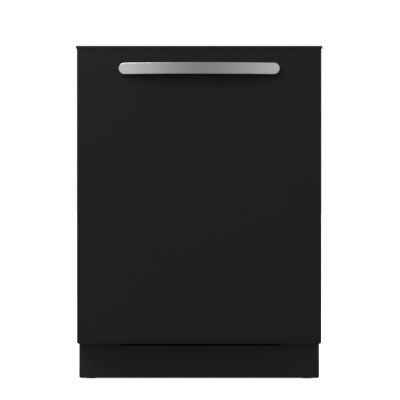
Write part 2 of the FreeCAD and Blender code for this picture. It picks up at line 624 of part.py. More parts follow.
# ---- Door ----------------------------------------------------------------
SKIN = 1.0
HANDLE_LENGTH = 395.0
HANDLE_HEIGHT = 28.5
HANDLE_Z = 768.4
HANDLE_THICK = 9.0
HANDLE_EDGE = 1.5
HANDLE_POST_X = 178.0
HANDLE_END_GAP = 10.0                     # front of the bar's ends to the door
LINER_HALF = 284.0
LINER_Z = (93.6, 816.0)
PLUG_HALF = 262.0
PLUG_Z = (165.0, 785.0)
TRAY_HALF = 297.0
TRAY_Z = 784.0
BOARD_HALF = 250.0
HINGE_TOP = 260.0
PAD_HALF = 278.0
PAD_Z = (130.0, 756.0)
LIP_BOTTOM = 125.0
PLUG_FACE = SEAL_FACE + 12.5
BUTTON_Y = DOOR_FACE + 14.0
BUTTONS = {"button_power": (-215.0, 9.0), "button_cycle": (-165.0, 15.0),
           "button_start": (212.0, 15.0)}
DISPENSER = (95.0, 381.0, 519.0)          # half width, bottom, top
CUP = (-85.0, -20.0, 410.0, 470.0)        # detergent cup: left, right, bottom, top
RINSE_X = 50.0
RINSE_Z = 502.0


def door_panel():
    """Folded outer skin with rounded lower corners and turned-in lips."""
    back = DOOR_FACE + 25
    outer = block(-DOOR_HALF, DOOR_HALF, DOOR_FACE, back, DOOR_BOTTOM, DOOR_TOP)
    outer = fillet(outer, 5, lambda box: along(box, "Y") and box.ZMax < DOOR_BOTTOM + 1)
    outer = fillet(outer, 2, lambda box: box.YMax < DOOR_FACE + 0.01 and box.ZMin < DOOR_TOP - 1)
    inside = block(-DOOR_HALF + SKIN, DOOR_HALF - SKIN, DOOR_FACE + SKIN, back + 1,
                   DOOR_BOTTOM + SKIN, DOOR_TOP + 1)
    inside = fillet(inside, 4, lambda box: along(box, "Y") and box.ZMax < DOOR_BOTTOM + 2)
    skin = outer.cut(inside)
    skin = skin.cut(block(-DOOR_HALF + SKIN, DOOR_HALF - SKIN, back - 5, back + 1,
                          DOOR_BOTTOM - 1, DOOR_BOTTOM + 6))
    lip = block(LINER_HALF + RUN_GAP, DOOR_HALF - SKIN / 2, back - SKIN, back,
                LIP_BOTTOM, DOOR_TOP)
    for piece in pair(lip):
        skin = skin.fuse(piece)
    for x in (-HANDLE_POST_X, HANDLE_POST_X):
        skin = skin.cut(rod(2.7, (x, DOOR_FACE - 2, HANDLE_Z), (x, DOOR_FACE + 3, HANDLE_Z)))
    return skin


def door_liner():
    """Inner pan: flat rim on the gasket, raised plug inside the tub's mouth."""
    thick = 1.5
    low, high = LINER_Z
    plug_low, plug_high = PLUG_Z
    rim = block(-LINER_HALF, LINER_HALF, DOOR_FACE + 26, SEAL_FACE, low, high)
    plug = block(-PLUG_HALF, PLUG_HALF, SEAL_FACE - 3, PLUG_FACE, plug_low, plug_high)
    plug = fillet(plug, 24, lambda box: along(box, "Y"))
    plug = fillet(plug, 5, lambda box: box.YMin > PLUG_FACE - 0.01)
    rim_hollow = block(-LINER_HALF + thick, LINER_HALF - thick, DOOR_FACE + 25,
                       SEAL_FACE - thick, low + thick, high - thick)
    plug_hollow = block(-PLUG_HALF + thick, PLUG_HALF - thick, SEAL_FACE - 4,
                        PLUG_FACE - thick, plug_low + thick, plug_high - thick)
    plug_hollow = fillet(plug_hollow, 23, lambda box: along(box, "Y"))
    liner = rim.fuse(plug).cut(rim_hollow).cut(plug_hollow)
    latch_way = block(-12, 12, DOOR_FACE + 20, SEAL_FACE + 1, LATCH_Z - 5.5, high - 2)
    half, cup_low, cup_high = DISPENSER
    cup_way = block(-half - 0.5, half + 0.5, DOOR_FACE + 20, PLUG_FACE + 1,
                    cup_low - 0.5, cup_high + 0.5)
    return liner.cut(latch_way).cut(cup_way)


def console():
    """Cap over the door's top with an electronics tray hanging from it."""
    front, back = DOOR_FACE - 1, DOOR_FACE + 49
    cap = block(-WIDTH / 2, WIDTH / 2, front, back, DOOR_TOP, HEIGHT)
    cap = fillet(cap, 3, lambda box: along(box, "Z"))
    cap = fillet(cap, 1.4, lambda box: box.ZMax < DOOR_TOP + 0.01 or box.ZMin > HEIGHT - 0.01)
    hollow = block(-WIDTH / 2 + 3, WIDTH / 2 - 3, front + 3, back - 3, DOOR_TOP - 1, HEIGHT - 3)
    tray = block(-TRAY_HALF, TRAY_HALF, DOOR_FACE + 1.5, DOOR_FACE + 23.5, TRAY_Z, DOOR_TOP + 1)
    tray_hollow = block(-TRAY_HALF + 2, TRAY_HALF - 2, DOOR_FACE + 3.5, DOOR_FACE + 21.5,
                        TRAY_Z + 2, HEIGHT - 3)
    rear_skirt = block(-LINER_HALF - 12, LINER_HALF + 12, DOOR_FACE + 21.5, DOOR_FACE + 23.5,
                       DOOR_TOP, HEIGHT - 2)
    body = cap.cut(hollow).fuse(tray).fuse(rear_skirt).cut(tray_hollow)
    for x, half in BUTTONS.values():
        body = body.cut(block(x - half - 0.4, x + half + 0.4, BUTTON_Y - 4.4, BUTTON_Y + 4.4,
                              HEIGHT - 4, HEIGHT + 1))
    return body.removeSplitter()


def button(x, half):
    """A key in the console's top, with a retaining flange and a stem."""
    key = block(x - half, x + half, BUTTON_Y - 4, BUTTON_Y + 4, HEIGHT - 8, HEIGHT - 0.2)
    key = fillet(key, 1.2, lambda box: along(box, "Z"))
    key = fillet(key, 0.5, lambda box: box.ZMin > HEIGHT - 0.3)
    flange = block(x - half - 2, x + half + 2, BUTTON_Y - 6, BUTTON_Y + 6, HEIGHT - 8, HEIGHT - 5.5)
    stem = block(x - 2, x + 2, BUTTON_Y - 2, BUTTON_Y + 2, HEIGHT - 13, HEIGHT - 7)
    return key.fuse(flange).fuse(stem)


def control_board():
    """Circuit board on two posts, with a micro switch under each key."""
    board = block(-BOARD_HALF, BOARD_HALF, BUTTON_Y - 8, BUTTON_Y + 6, HEIGHT - 19, HEIGHT - 17)
    for x in (6 - BOARD_HALF, BOARD_HALF - 6):
        board = board.fuse(rod(3, (x, BUTTON_Y, TRAY_Z + 2), (x, BUTTON_Y, HEIGHT - 18)))
    for x, _ in BUTTONS.values():
        board = board.fuse(block(x - 4, x + 4, BUTTON_Y - 3, BUTTON_Y + 3, HEIGHT - 18, HEIGHT - 14.6))
    board = board.fuse(block(-40, 10, BUTTON_Y - 5, BUTTON_Y + 3, HEIGHT - 18, HEIGHT - 9))
    return board


def latch_housing():
    """Case behind the liner that the striker's tongue enters."""
    top = LINER_Z[1] - 1.6
    case = block(-22, 22, DOOR_FACE + 26.3, SEAL_FACE - 1.7, LATCH_Z - 14.5, top)
    pocket = block(-12, 12, DOOR_FACE + 27.5, SEAL_FACE, LATCH_Z - 5.5, top - 1.4)
    pin = rod(2, (-14, LATCH_Y, LATCH_Z), (14, LATCH_Y, LATCH_Z))
    return case.cut(pocket).fuse(pin)


def latch_hook():
    """Pivoting hook whose beak rises into the tongue's window."""
    hub = rod(4.5, (-6, LATCH_Y, LATCH_Z), (6, LATCH_Y, LATCH_Z))
    arm = block(-4, 4, LATCH_Y, LATCH_Y + 12.5, LATCH_Z - 1.5, LATCH_Z + 1.5)
    beak = block(-3.5, 3.5, LATCH_Y + 9.5, LATCH_Y + 12, LATCH_Z + 1, LATCH_Z + 4)
    hook = hub.fuse(arm).fuse(beak)
    return hook.cut(rod(2.06, (-10, LATCH_Y, LATCH_Z), (10, LATCH_Y, LATCH_Z)))


def on_cylinder(edge, centre_y, radius):
    """True for an edge whose every sampled point lies on an upright cylinder."""
    points = edge.discretize(5)
    return all(abs(math.hypot(p.x, p.y - centre_y) - radius) < 0.01 for p in points)


def door_handle():
    """Flat bar with round ends, bowed forward between two short posts."""
    half, bow = HANDLE_LENGTH / 2, HANDLE_REACH - HANDLE_END_GAP
    radius = (half ** 2 + bow ** 2) / (2 * bow)
    centre_y = FRONT + radius
    low, high = HANDLE_Z - HANDLE_HEIGHT / 2, HANDLE_Z + HANDLE_HEIGHT / 2
    outer = rod(radius, (0, centre_y, low), (0, centre_y, high))
    inner = rod(radius - HANDLE_THICK, (0, centre_y, low - 1), (0, centre_y, high + 1))
    corner = HANDLE_HEIGHT / 2 - 0.2
    pill = block(-half, half, FRONT - 5, DOOR_FACE - 0.2, low, high)
    pill = fillet(pill, corner, lambda box: along(box, "Y"))
    bar = outer.cut(inner).common(pill)
    front_edges = [edge for edge in bar.Edges if on_cylinder(edge, centre_y, radius)]
    bar = bar.makeFillet(HANDLE_EDGE, front_edges)
    for x in (-HANDLE_POST_X, HANDLE_POST_X):
        reach = centre_y - math.sqrt((radius - HANDLE_THICK / 2) ** 2 - x ** 2)
        bar = bar.fuse(rod(9.5, (x, DOOR_FACE, HANDLE_Z), (x, reach, HANDLE_Z)))
        bar = bar.cut(rod(2.6, (x, DOOR_FACE + 1, HANDLE_Z), (x, DOOR_FACE - 8, HANDLE_Z)))
    return bar


def handle_screws():
    """Two pan-head screws from inside the door into the handle's posts."""
    screws = []
    for x in (-HANDLE_POST_X, HANDLE_POST_X):
        head = rod(5, (x, DOOR_FACE + SKIN, HANDLE_Z), (x, DOOR_FACE + 3.4, HANDLE_Z))
        screws.append(head.fuse(rod(2.5, (x, DOOR_FACE + 2, HANDLE_Z), (x, DOOR_FACE - 7, HANDLE_Z))))
    return screws


def hinge_arms():
    """Steel arms inside the door's sides that turn on the base's pins."""
    x0, x1 = RAIL_OUT - 10, RAIL_OUT - 7
    front, lip = DOOR_FACE + 3, DOOR_FACE + 22
    ear = HINGE_EAR
    arm = block(x0, x1, front, PIVOT_Y, DOOR_BOTTOM + 1.4, PIVOT_Z + 23)
    arm = arm.fuse(block(x0, x1, front, lip, PIVOT_Z + 19, HINGE_TOP))
    arm = arm.fuse(rod(ear, (x0, PIVOT_Y, PIVOT_Z), (x1, PIVOT_Y, PIVOT_Z)))
    arm = arm.fuse(rod(5, (x0, PIVOT_Y + ear, PIVOT_Z), (x1, PIVOT_Y + ear, PIVOT_Z)))
    arm = arm.fuse(block(LINER_HALF + 0.5, x1, front, front + 2, PIVOT_Z - 5, HINGE_TOP))
    arm = arm.cut(rod(PIN_RADIUS + 0.05, (x0 - 1, PIVOT_Y, PIVOT_Z), (x1 + 1, PIVOT_Y, PIVOT_Z)))
    return pair(arm.removeSplitter())


def door_sound_pad():
    """Felted mastic pad between the skin and the liner."""
    return block(-PAD_HALF, PAD_HALF, DOOR_FACE + 1.5, DOOR_FACE + 20, *PAD_Z)


def dispenser_body():
    """Moulded dispenser: detergent cup, slide rails and rinse-aid port."""
    half, low, high = DISPENSER
    core = block(-half, half, DOOR_FACE + 33, PLUG_FACE, low, high)
    flange = block(-half - 9, half + 9, PLUG_FACE, PLUG_FACE + 4, low - 9, high + 9)
    flange = fillet(flange, 10, lambda box: along(box, "Y"))
    flange = fillet(flange, 1.5, lambda box: box.YMin > PLUG_FACE + 3.9)
    x0, x1, z0, z1 = CUP
    body = core.fuse(flange)
    body = body.cut(block(x0, x1, DOOR_FACE + 37, PLUG_FACE + 5, z0, z1))
    for z in (z0 - 8, z1 + 5):
        body = body.fuse(block(x0 - 8, 62, PLUG_FACE + 3, PLUG_FACE + 7.5, z, z + 3))
    return body


def dispenser_lid():
    """Cover that slides sideways off the detergent cup."""
    x0, x1, z0, z1 = CUP
    lid = block(x0 - 4, x1 + 4, PLUG_FACE + 4.3, PLUG_FACE + 6.8, z0 - 4, z1 + 4)
    lid = fillet(lid, 1, lambda box: box.YMin > PLUG_FACE + 6.7)
    grip = block(x1 - 8, x1 - 4, PLUG_FACE + 6, PLUG_FACE + 8.3, z0 + 8, z1 - 8)
    return lid.fuse(grip)


def rinse_aid_cap():
    """Quarter-turn cap with a raised grip."""
    y = PLUG_FACE + 4.3
    cap = rod(13, (RINSE_X, y, RINSE_Z), (RINSE_X, y + 2.4, RINSE_Z))
    grip = block(RINSE_X - 11, RINSE_X + 11, y + 1, y + 4, RINSE_Z - 2, RINSE_Z + 2)
    return cap.fuse(grip)


# ---- Racks ---------------------------------------------------------------
WIRE = 2.0
RIM = 2.5
RACK_FRONT = -223.0
LOWER = {"half": 258.0, "back": 260.0, "floor": 195.0, "rim": 412.0, "hoop": 300.0}
UPPER = {"half": 250.0, "back": 246.0, "floor": 472.0, "rim": 596.0, "hoop": 530.0}
LOWER_CROSS = (-215.0, -180.0, -100.0, -20.0, 60.0, 180.0, 250.0)
UPPER_CROSS = (-215.0, -140.0, -60.0, 20.0, 100.0, 180.0, 236.0)
LOWER_WHEEL_Y = (-180.0, 180.0)
WHEEL_RADIUS = 17.0
WHEEL_Z = TUB_FLOOR + WHEEL_RADIUS + RUN_GAP
ROLLER_RADIUS = 9.7
RAIL_Y = (-215.0, 265.0)
TINE_STEP = 35.0
TINE_RADIUS = 1.6
FOLD_X = 72.0                             # folding tine row
FOLD_HALF = 150.0
BASKET_TOP = 326.0
RAIL_X = (256.0, 266.0, 268.0, 278.0)     # flange, web, web, flange
RAIL_HALF = 12.0
SHELF_X = -240.0
SHELF_Z = 548.0


def wire_rack(rack, cross_places, long_places):
    """Straight wires, each touching its neighbours: floor, rims and uprights."""
    half, back, floor, rim = rack["half"], rack["back"], rack["floor"], rack["rim"]
    wires = []
    for y in cross_places:
        wires.append(rod(WIRE, (-half, y, floor), (half, y, floor)))
        for side in (-1, 1):
            x = side * (half - RIM - WIRE)
            wires.append(rod(WIRE, (x, y, floor + WIRE), (x, y, rim + RIM)))
    long_z = floor + 2 * WIRE
    for index, x in enumerate(long_places):
        wires.append(rod(WIRE, (x, RACK_FRONT, long_z), (x, back, long_z)))
        if index % 2 == 0:
            for y in (RACK_FRONT + RIM + WIRE, back - RIM - WIRE):
                wires.append(rod(WIRE, (x, y, long_z + WIRE), (x, y, rim + RIM)))
    for z in (rack["hoop"], rim):
        for y in (RACK_FRONT, back):
            wires.append(rod(RIM, (-half + RIM, y, z), (half - RIM, y, z)))
        for x in (-half, half):
            wires.append(rod(RIM, (x, RACK_FRONT - RIM, z), (x, back + RIM, z)))
    return wires


def tine_row(x, foot_z, height):
    """A row of upright plate tines."""
    places = [step * TINE_STEP for step in range(-4, 5)]
    return [rod(TINE_RADIUS, (x, y, foot_z), (x, y, foot_z + height)) for y in places]


def lower_rack():
    """Plate rack, its fixed tines and the carriers of its wheels."""
    places = [48.0 * step for step in range(-5, 6)]
    parts = wire_rack(LOWER, LOWER_CROSS, places)
    top = LOWER["floor"] + 3 * WIRE
    for x in (-48.0, 192.0):
        parts += tine_row(x, top, 78)
    half = LOWER["half"]
    for y in LOWER_WHEEL_Y:
        leg = block(half - 4, half + 3, y - 6, y + 6, WHEEL_Z - 6, LOWER["floor"] - WIRE)
        axle = rod(3, (half, y, WHEEL_Z), (half + 19, y, WHEEL_Z))
        cap = rod(5, (half + 18, y, WHEEL_Z), (half + 20, y, WHEEL_Z))
        parts += pair(leg.fuse(axle).fuse(cap))
    return parts


def lower_wheels(y):
    """A left and a right wheel on one axis."""
    x0, x1 = LOWER["half"] + 6, LOWER["half"] + 17
    wheel = rod(WHEEL_RADIUS, (x0, y, WHEEL_Z), (x1, y, WHEEL_Z))
    wheel = fillet(wheel, 1.5, lambda box: box.XLength < 1e-3)
    wheel = wheel.cut(ring(13.5, 7, (x1 - 3, y, WHEEL_Z), (x1 + 1, y, WHEEL_Z)))
    wheel = wheel.cut(rod(3.06, (x0 - 1, y, WHEEL_Z), (x1 + 1, y, WHEEL_Z)))
    return pair(wheel)


def folding_tines():
    """A row of tines that folds flat on its own shaft."""
    z = LOWER["floor"] + 3 * WIRE + WIRE + 0.4
    shaft = rod(WIRE, (FOLD_X, -FOLD_HALF, z), (FOLD_X, FOLD_HALF, z))
    return [shaft] + tine_row(FOLD_X, z + WIRE, 74)


def cutlery_basket():
    """Open-topped basket with three cells and a carrying bar."""
    x0, x1, y0, y1 = -244.0, -136.0, -170.0, 170.0
    z0, z1 = LOWER["floor"] + 3 * WIRE + 0.4, BASKET_TOP
    basket = block(x0, x1, y0, y1, z0, z1)
    basket = fillet(basket, 8, lambda box: along(box, "Z"))
    third = (y1 - y0) / 3
    for step in range(3):
        start = y0 + third * step
        cell = block(x0 + 2.5, x1 - 2.5, start + 2.5, start + third - 2.5, z0 + 3, z1 + 5)
        basket = basket.cut(cell)
    middle = (x0 + x1) / 2
    for y in (y0 + third, y0 + 2 * third):
        basket = basket.fuse(block(middle - 4, middle + 4, y - 2.5, y + 2.5, z1 - 5, z1 + 26))
    grip = rod(5, (middle, y0 + third - 2.5, z1 + 26), (middle, y0 + 2 * third + 2.5, z1 + 26))
    return basket.fuse(grip)


def upper_rack():
    """Cup rack of straight wires."""
    places = [50.0 * step for step in range(-4, 5)]
    return wire_rack(UPPER, UPPER_CROSS, places)


def upper_rack_fittings():
    """Glide blocks that run in the rails, and the pipe to the spray arm."""
    half = UPPER["half"]
    blocks = []
    for y in (40.0, 180.0):
        glide = block(half + RIM + 0.1, RAIL_X[1] - RUN_GAP, y, y + 40,
                      ROLLER_Z - ROLLER_RADIUS, ROLLER_Z + ROLLER_RADIUS)
        blocks += pair(glide)
    pipe = rod(7, (0, HUB_Y, MANIFOLD_Z), (0, MANIFOLD_Y - 0.4, MANIFOLD_Z))
    spindle = rod(SPINDLE, (0, HUB_Y, UPPER_ARM_Z - 3), (0, HUB_Y, MANIFOLD_Z))
    knob = rod(KNOB_RADIUS, (0, HUB_Y, UPPER_ARM_Z - 6), (0, HUB_Y, UPPER_ARM_Z - 0.6))
    return blocks + [pipe.fuse(spindle).fuse(knob)]


def upper_rails():
    """Slide rails: tub rollers run in the outer channel, glides in the inner."""
    y0, y1 = RAIL_Y
    inner, web_in, web_out, outer = RAIL_X
    z0, z1 = ROLLER_Z - RAIL_HALF, ROLLER_Z + RAIL_HALF
    web = block(web_in, web_out, y0, y1, z0, z1)
    low = block(inner, outer, y0, y1, z0, z0 + 2)
    high = block(inner, outer, y0, y1, z1 - 2, z1)
    return pair(web.fuse(low).fuse(high).removeSplitter())


def tub_rollers():
    """Rollers on the tub's studs, a left and a right one on one axis."""
    x0, x1 = TUB_HALF - 11.5, TUB_HALF - 3
    roller = ring(ROLLER_RADIUS, 3.06, (x0, ROLLER_Y, ROLLER_Z), (x1, ROLLER_Y, ROLLER_Z))
    return pair(roller)


def cup_shelf():
    """Wire shelf on the rack's left side that folds up."""
    x, z, reach = SHELF_X, SHELF_Z, 86.0
    shaft = rod(WIRE, (x, -150, z), (x, 150, z))
    places = [step * 50.0 for step in range(-3, 4)]
    bars = [rod(TINE_RADIUS, (x + WIRE, y, z), (x + reach, y, z)) for y in places]
    edge = rod(WIRE, (x + reach + WIRE, -152, z), (x + reach + WIRE, 152, z))
    return [shaft, edge] + bars


# ---- The whole machine ---------------------------------------------------
def build():
    """Write every node."""
    nodes = {
        "tub_wrapper": tub_wrapper(), "tub_floor": tub_floor(),
        "tub_front_frame": tub_front_frame(), "tub_gasket": tub_gasket(),
        "insulation_blanket": insulation_blanket(), "latch_striker": latch_striker(),
        "mounting_brackets": mounting_brackets(), "base_frame": base_frame(),
        "kick_plate": kick_plate(), "kick_plate_screws": kick_plate_screws(),
        "sump": sump(), "filter_plate": filter_plate(), "filter_cylinder": filter_cylinder(),
        "lower_spray_arm": spray_arm(235, SUMP_Y, LOWER_ARM_Z, ARM_THICK, SPINDLE + 0.06),
        "upper_spray_arm": spray_arm(232, HUB_Y, UPPER_ARM_Z, ARM_THICK, SPINDLE + 0.06),
        "top_spray_arm": spray_arm(120, HUB_Y, TOP_ARM_Z, ARM_THICK, SPINDLE + 0.06),
        "heating_element": heating_element(), "float": floating_dome(),
        "feed_tube": feed_tube(),
        "wash_pump_housing": pump_housing(*WASH_PUMP_X, WASH_PUMP_RADIUS, 3, 15, 20),
        "wash_impeller": impeller(100, 112, 34, 117.7, 6),
        "wash_motor": pump_motor(118.2, 205, 38),
        "drain_impeller": impeller(-98, -106, 19, -111.7, 4),
        "drain_pump": [pump_housing(*DRAIN_PUMP_X, DRAIN_PUMP_RADIUS, 3, 12, -20),
                       pump_motor(-112.2, -165, 19)],
        "drain_hose": [drain_hose(), drain_spigot()],
        "inlet_valve": inlet_valve(), "inlet_hose": inlet_hose(), "air_break": air_break(),
        "junction_box": [junction_box(), junction_box_cover()],
        "door_springs": door_springs(), "door_panel": door_panel(), "door_liner": door_liner(),
        "console": console(), "control_board": control_board(),
        "latch_housing": latch_housing(), "latch_hook": latch_hook(),
        "door_handle": door_handle(), "handle_screws": handle_screws(),
        "hinge_arms": hinge_arms(), "door_sound_pad": door_sound_pad(),
        "dispenser_body": dispenser_body(), "dispenser_lid": dispenser_lid(),
        "rinse_aid_cap": rinse_aid_cap(), "lower_rack": lower_rack(),
        "lower_wheels_front": lower_wheels(LOWER_WHEEL_Y[0]),
        "lower_wheels_rear": lower_wheels(LOWER_WHEEL_Y[1]),
        "folding_tines": folding_tines(), "cutlery_basket": cutlery_basket(),
        "upper_rack": upper_rack(), "upper_rack_fittings": upper_rack_fittings(),
        "upper_rails": upper_rails(), "tub_rollers": tub_rollers(), "cup_shelf": cup_shelf(),
    }
    for name, (x, half) in BUTTONS.items():
        nodes[name] = button(x, half)
    for end, y in zip(("front", "rear"), LEG_Y):
        nodes["leg_right_" + end] = leveling_leg(LEG_X, y)
        nodes["leg_left_" + end] = leveling_leg(-LEG_X, y)
    for name, shapes in nodes.items():
        export(name, shapes)
        for solid in shapes if isinstance(shapes, list) else [shapes]:
            if len(solid.Solids) != 1 or not solid.isValid():
                print("CHECK", name, len(solid.Solids), "solids, valid", solid.isValid())
    print(len(nodes), "nodes")


os.makedirs("parts", exist_ok=True)
build()
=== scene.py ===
import json
from math import cos, pi, radians, sin, sqrt, tan

import bmesh
import bpy
from mathutils import Matrix, Vector, noise


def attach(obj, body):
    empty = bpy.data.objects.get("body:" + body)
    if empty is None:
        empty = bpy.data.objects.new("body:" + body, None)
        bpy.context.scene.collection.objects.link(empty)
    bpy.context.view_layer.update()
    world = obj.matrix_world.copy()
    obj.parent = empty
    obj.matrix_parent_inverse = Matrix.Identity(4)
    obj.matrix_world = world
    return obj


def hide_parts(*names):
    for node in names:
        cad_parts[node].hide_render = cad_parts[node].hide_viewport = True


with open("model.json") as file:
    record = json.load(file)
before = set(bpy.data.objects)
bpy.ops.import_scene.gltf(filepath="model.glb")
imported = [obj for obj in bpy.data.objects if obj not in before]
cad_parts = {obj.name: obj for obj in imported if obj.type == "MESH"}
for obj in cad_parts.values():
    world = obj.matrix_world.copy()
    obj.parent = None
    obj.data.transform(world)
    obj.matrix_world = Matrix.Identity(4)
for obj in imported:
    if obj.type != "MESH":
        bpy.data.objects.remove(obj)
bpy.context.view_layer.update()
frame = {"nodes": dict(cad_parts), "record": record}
NODES = frame["nodes"]
BODIES = frame["record"]["behaviour"]["bodies"]
BODY_OF = {node: body for body, nodes in BODIES.items() for node in nodes}
SLOT_OF = {part["node"]: part["material_slot"] for part in frame["record"]["subparts"]}
MM = 0.001


# ---- Mesh helpers ----
# Where an outline's point and its depth go, and the axes a profile is turned about.
PLACE = {"X": lambda u, v, d: (d, u, v), "Y": lambda u, v, d: (u, d, v), "Z": lambda u, v, d: (u, v, d)}
TURN = {"X": ((0, 1, 0), (0, 0, 1), (1, 0, 0)), "Y": ((0, 0, 1), (1, 0, 0), (0, 1, 0)),
        "Z": ((1, 0, 0), (0, 1, 0), (0, 0, 1))}
WELD = 2e-6                               # vertices closer than this are merged
STRAIGHT = radians(89.5)             # half the angle at a corner that needs no arc


def circle(sides):
    """Evenly spaced angles round a full turn."""
    return [2 * pi * k / sides for k in range(sides)]


def around(ring):
    """Each item of a closed ring with the next one."""
    return zip(ring, ring[1:] + ring[:1])


def soften(bm, edges, width, segments, clamp=True):
    bmesh.ops.bevel(bm, geom=edges, offset=width, segments=segments, profile=0.5,
                    affect="EDGES", clamp_overlap=clamp)


def skin(bm, rings, endless=False):
    """Faces between each closed ring of vertices and the next."""
    for near, far in around(rings) if endless else zip(rings, rings[1:]):
        for (a, b), (c, d) in zip(around(near), around(far)):
            bm.faces.new((a, b, d, c))


def as_mesh(name, bm):
    mesh = bpy.data.meshes.new(name)
    bm.to_mesh(mesh)
    bm.free()
    return mesh


def in_scene(name, data):
    obj = bpy.data.objects.new(name, data)
    bpy.context.scene.collection.objects.link(obj)
    return obj


def box(low, high, edge, segments=3):
    """A bmesh box between two corners, with rounded edges."""
    bm = bmesh.new()
    bmesh.ops.create_cube(bm, size=1.0)
    low, high = Vector(low), Vector(high)
    for vert in bm.verts:
        vert.co = Vector(low[i] + (vert.co[i] + 0.5) * (high[i] - low[i]) for i in range(3))
    soften(bm, bm.edges[:], edge, segments)
    return bm


def prism(outline, start, end, axis="Y", edge=0.0, segments=3):
    """A closed outline of 2-D points, extruded along one axis, with rounded rims."""
    bm = bmesh.new()
    first = [bm.verts.new(PLACE[axis](u, v, start)) for u, v in outline]
    last = [bm.verts.new(PLACE[axis](u, v, end)) for u, v in outline]
    skin(bm, [first, last])
    bm.faces.new(first[::-1])
    bm.faces.new(last)
    bmesh.ops.recalc_face_normals(bm, faces=bm.faces[:])
    if edge:
        caps = [e for e in bm.edges if all(v in first for v in e.verts) or all(v in last for v in e.verts)]
        soften(bm, caps, edge, segments)
    return bm


def corner_arc(corner, u, w, radius, steps):
    """Points of the arc that rounds a corner between the directions u and w."""
    half = u.angle(w) / 2
    centre = corner + (u + w).normalized() * (radius / sin(half))
    back = radius / tan(half)
    a, b = corner + u * back - centre, corner + w * back - centre
    turn = a.angle(b)
    return [centre + (a * sin((1 - t) * turn) + b * sin(t * turn)) / sin(turn)
            for t in (step / steps for step in range(steps + 1))]


def rounded_outline(points, radius, steps=8):
    """2-D corner points with every corner turned into an arc. radius is a number or one per corner."""
    result = []
    for i, corner in enumerate(points):
        corner = Vector(corner)
        u = (Vector(points[i - 1]) - corner).normalized()
        w = (Vector(points[(i + 1) % len(points)]) - corner).normalized()
        r = radius[i] if isinstance(radius, (list, tuple)) else radius
        result += [tuple(point) for point in corner_arc(corner, u, w, r, steps)]
    return result


def rectangle(x0, x1, z0, z1):
    return [(x0, z0), (x1, z0), (x1, z1), (x0, z1)]


def bent(points, bend, steps=6, closed=False):
    """A 3-D route with each corner turned into an arc of radius bend, where there is room."""
    points = [Vector(p) for p in points]
    count = len(points)
    result = []
    for i, corner in enumerate(points):
        u, w = points[i - 1] - corner, points[(i + 1) % count] - corner
        room = min(u.length, w.length) * 0.49
        u.normalize()
        w.normalize()
        end = not closed and i in (0, count - 1)
        if end or u.angle(w) / 2 > STRAIGHT:
            result.append(corner)
            continue
        result += corner_arc(corner, u, w, min(bend, room * tan(u.angle(w) / 2)), steps)
    return result


def cap(bm, rim, out, domed, turn):
    """Closes a tube's end. out leads away from the tube and is as long as its radius."""
    middle = sum((v.co for v in rim), Vector()) / len(rim)
    if domed:
        small = [bm.verts.new(middle + (v.co - middle) * 0.72 + out * 0.55) for v in rim]
        for (a, b), (c, d) in zip(around(rim), around(small)):
            bm.faces.new((a, b, d, c)[::turn])
        rim = small
        middle = middle + out * 0.8
    tip = bm.verts.new(middle)
    for a, b in around(rim):
        bm.faces.new((a, b, tip)[::turn])


def sweep(path, radius, sides=10, closed=False, domed=True, bm=None):
    """A round tube along a path. radius is a number or one per point."""
    bm = bm or bmesh.new()
    count = len(path)
    radii = radius if isinstance(radius, (list, tuple)) else [radius] * count
    tangents = []
    for i in range(count):
        ahead = path[(i + 1) % count] if closed or i < count - 1 else path[i]
        behind = path[i - 1] if closed or i > 0 else path[i]
        tangents.append((ahead - behind).normalized())
    normal = tangents[0].orthogonal().normalized()
    rings = []
    last = tangents[0]
    for i in range(count):
        normal = last.rotation_difference(tangents[i]) @ normal
        last = tangents[i]
        side = tangents[i].cross(normal)
        rings.append([bm.verts.new(path[i] + radii[i] * (normal * cos(a) + side * sin(a)))
                      for a in circle(sides)])
    skin(bm, rings)
    if closed:
        shift = min(range(sides), key=lambda s: (rings[-1][0].co - rings[0][s].co).length)
        skin(bm, [rings[-1], rings[0][shift:] + rings[0][:shift]])
        return bm
    cap(bm, rings[0], tangents[0] * -1 * radii[0], domed, -1)
    cap(bm, rings[-1], tangents[-1] * radii[-1], domed, 1)
    return bm


def lathe(profile, centre, axis="Z", steps=36, bm=None):
    """A solid of revolution. profile lists (radius, distance along the axis)."""
    bm = bm or bmesh.new()
    centre = Vector(centre)
    u, w, way = (Vector(direction) for direction in TURN[axis])
    rings = []
    for radius, along in profile:
        if radius < 1e-7:
            rings.append([bm.verts.new(centre + way * along)])
            continue
        rings.append([bm.verts.new(centre + way * along + radius * (u * cos(a) + w * sin(a)))
                      for a in circle(steps)])
    for low, high in zip(rings, rings[1:]):
        for k in range(steps):
            m = (k + 1) % steps
            corners = [low[k % len(low)], low[m % len(low)], high[m % len(high)], high[k % len(high)]]
            corners = list(dict.fromkeys(corners))
            if len(corners) > 2:
                bm.faces.new(corners)
    return bm


def join(*parts):
    """Several bmeshes in one."""
    whole = bmesh.new()
    for part in parts:
        mesh = as_mesh("part", part)
        whole.from_mesh(mesh)
        bpy.data.meshes.remove(mesh)
    return whole


def placed(bm, angle, axis, spot):
    """bm turned about an axis through the origin, then moved."""
    bmesh.ops.rotate(bm, cent=(0, 0, 0), matrix=Matrix.Rotation(angle, 3, axis), verts=bm.verts[:])
    bmesh.ops.translate(bm, vec=spot, verts=bm.verts[:])
    return bm


def mirrored(bm):
    """A copy of bm on the other side of X = 0."""
    copy = bm.copy()
    bmesh.ops.scale(copy, vec=(-1, 1, 1), verts=copy.verts[:])
    bmesh.ops.reverse_faces(copy, faces=copy.faces[:])
    return copy


def both_sides(bm):
    return join(bm, mirrored(bm))


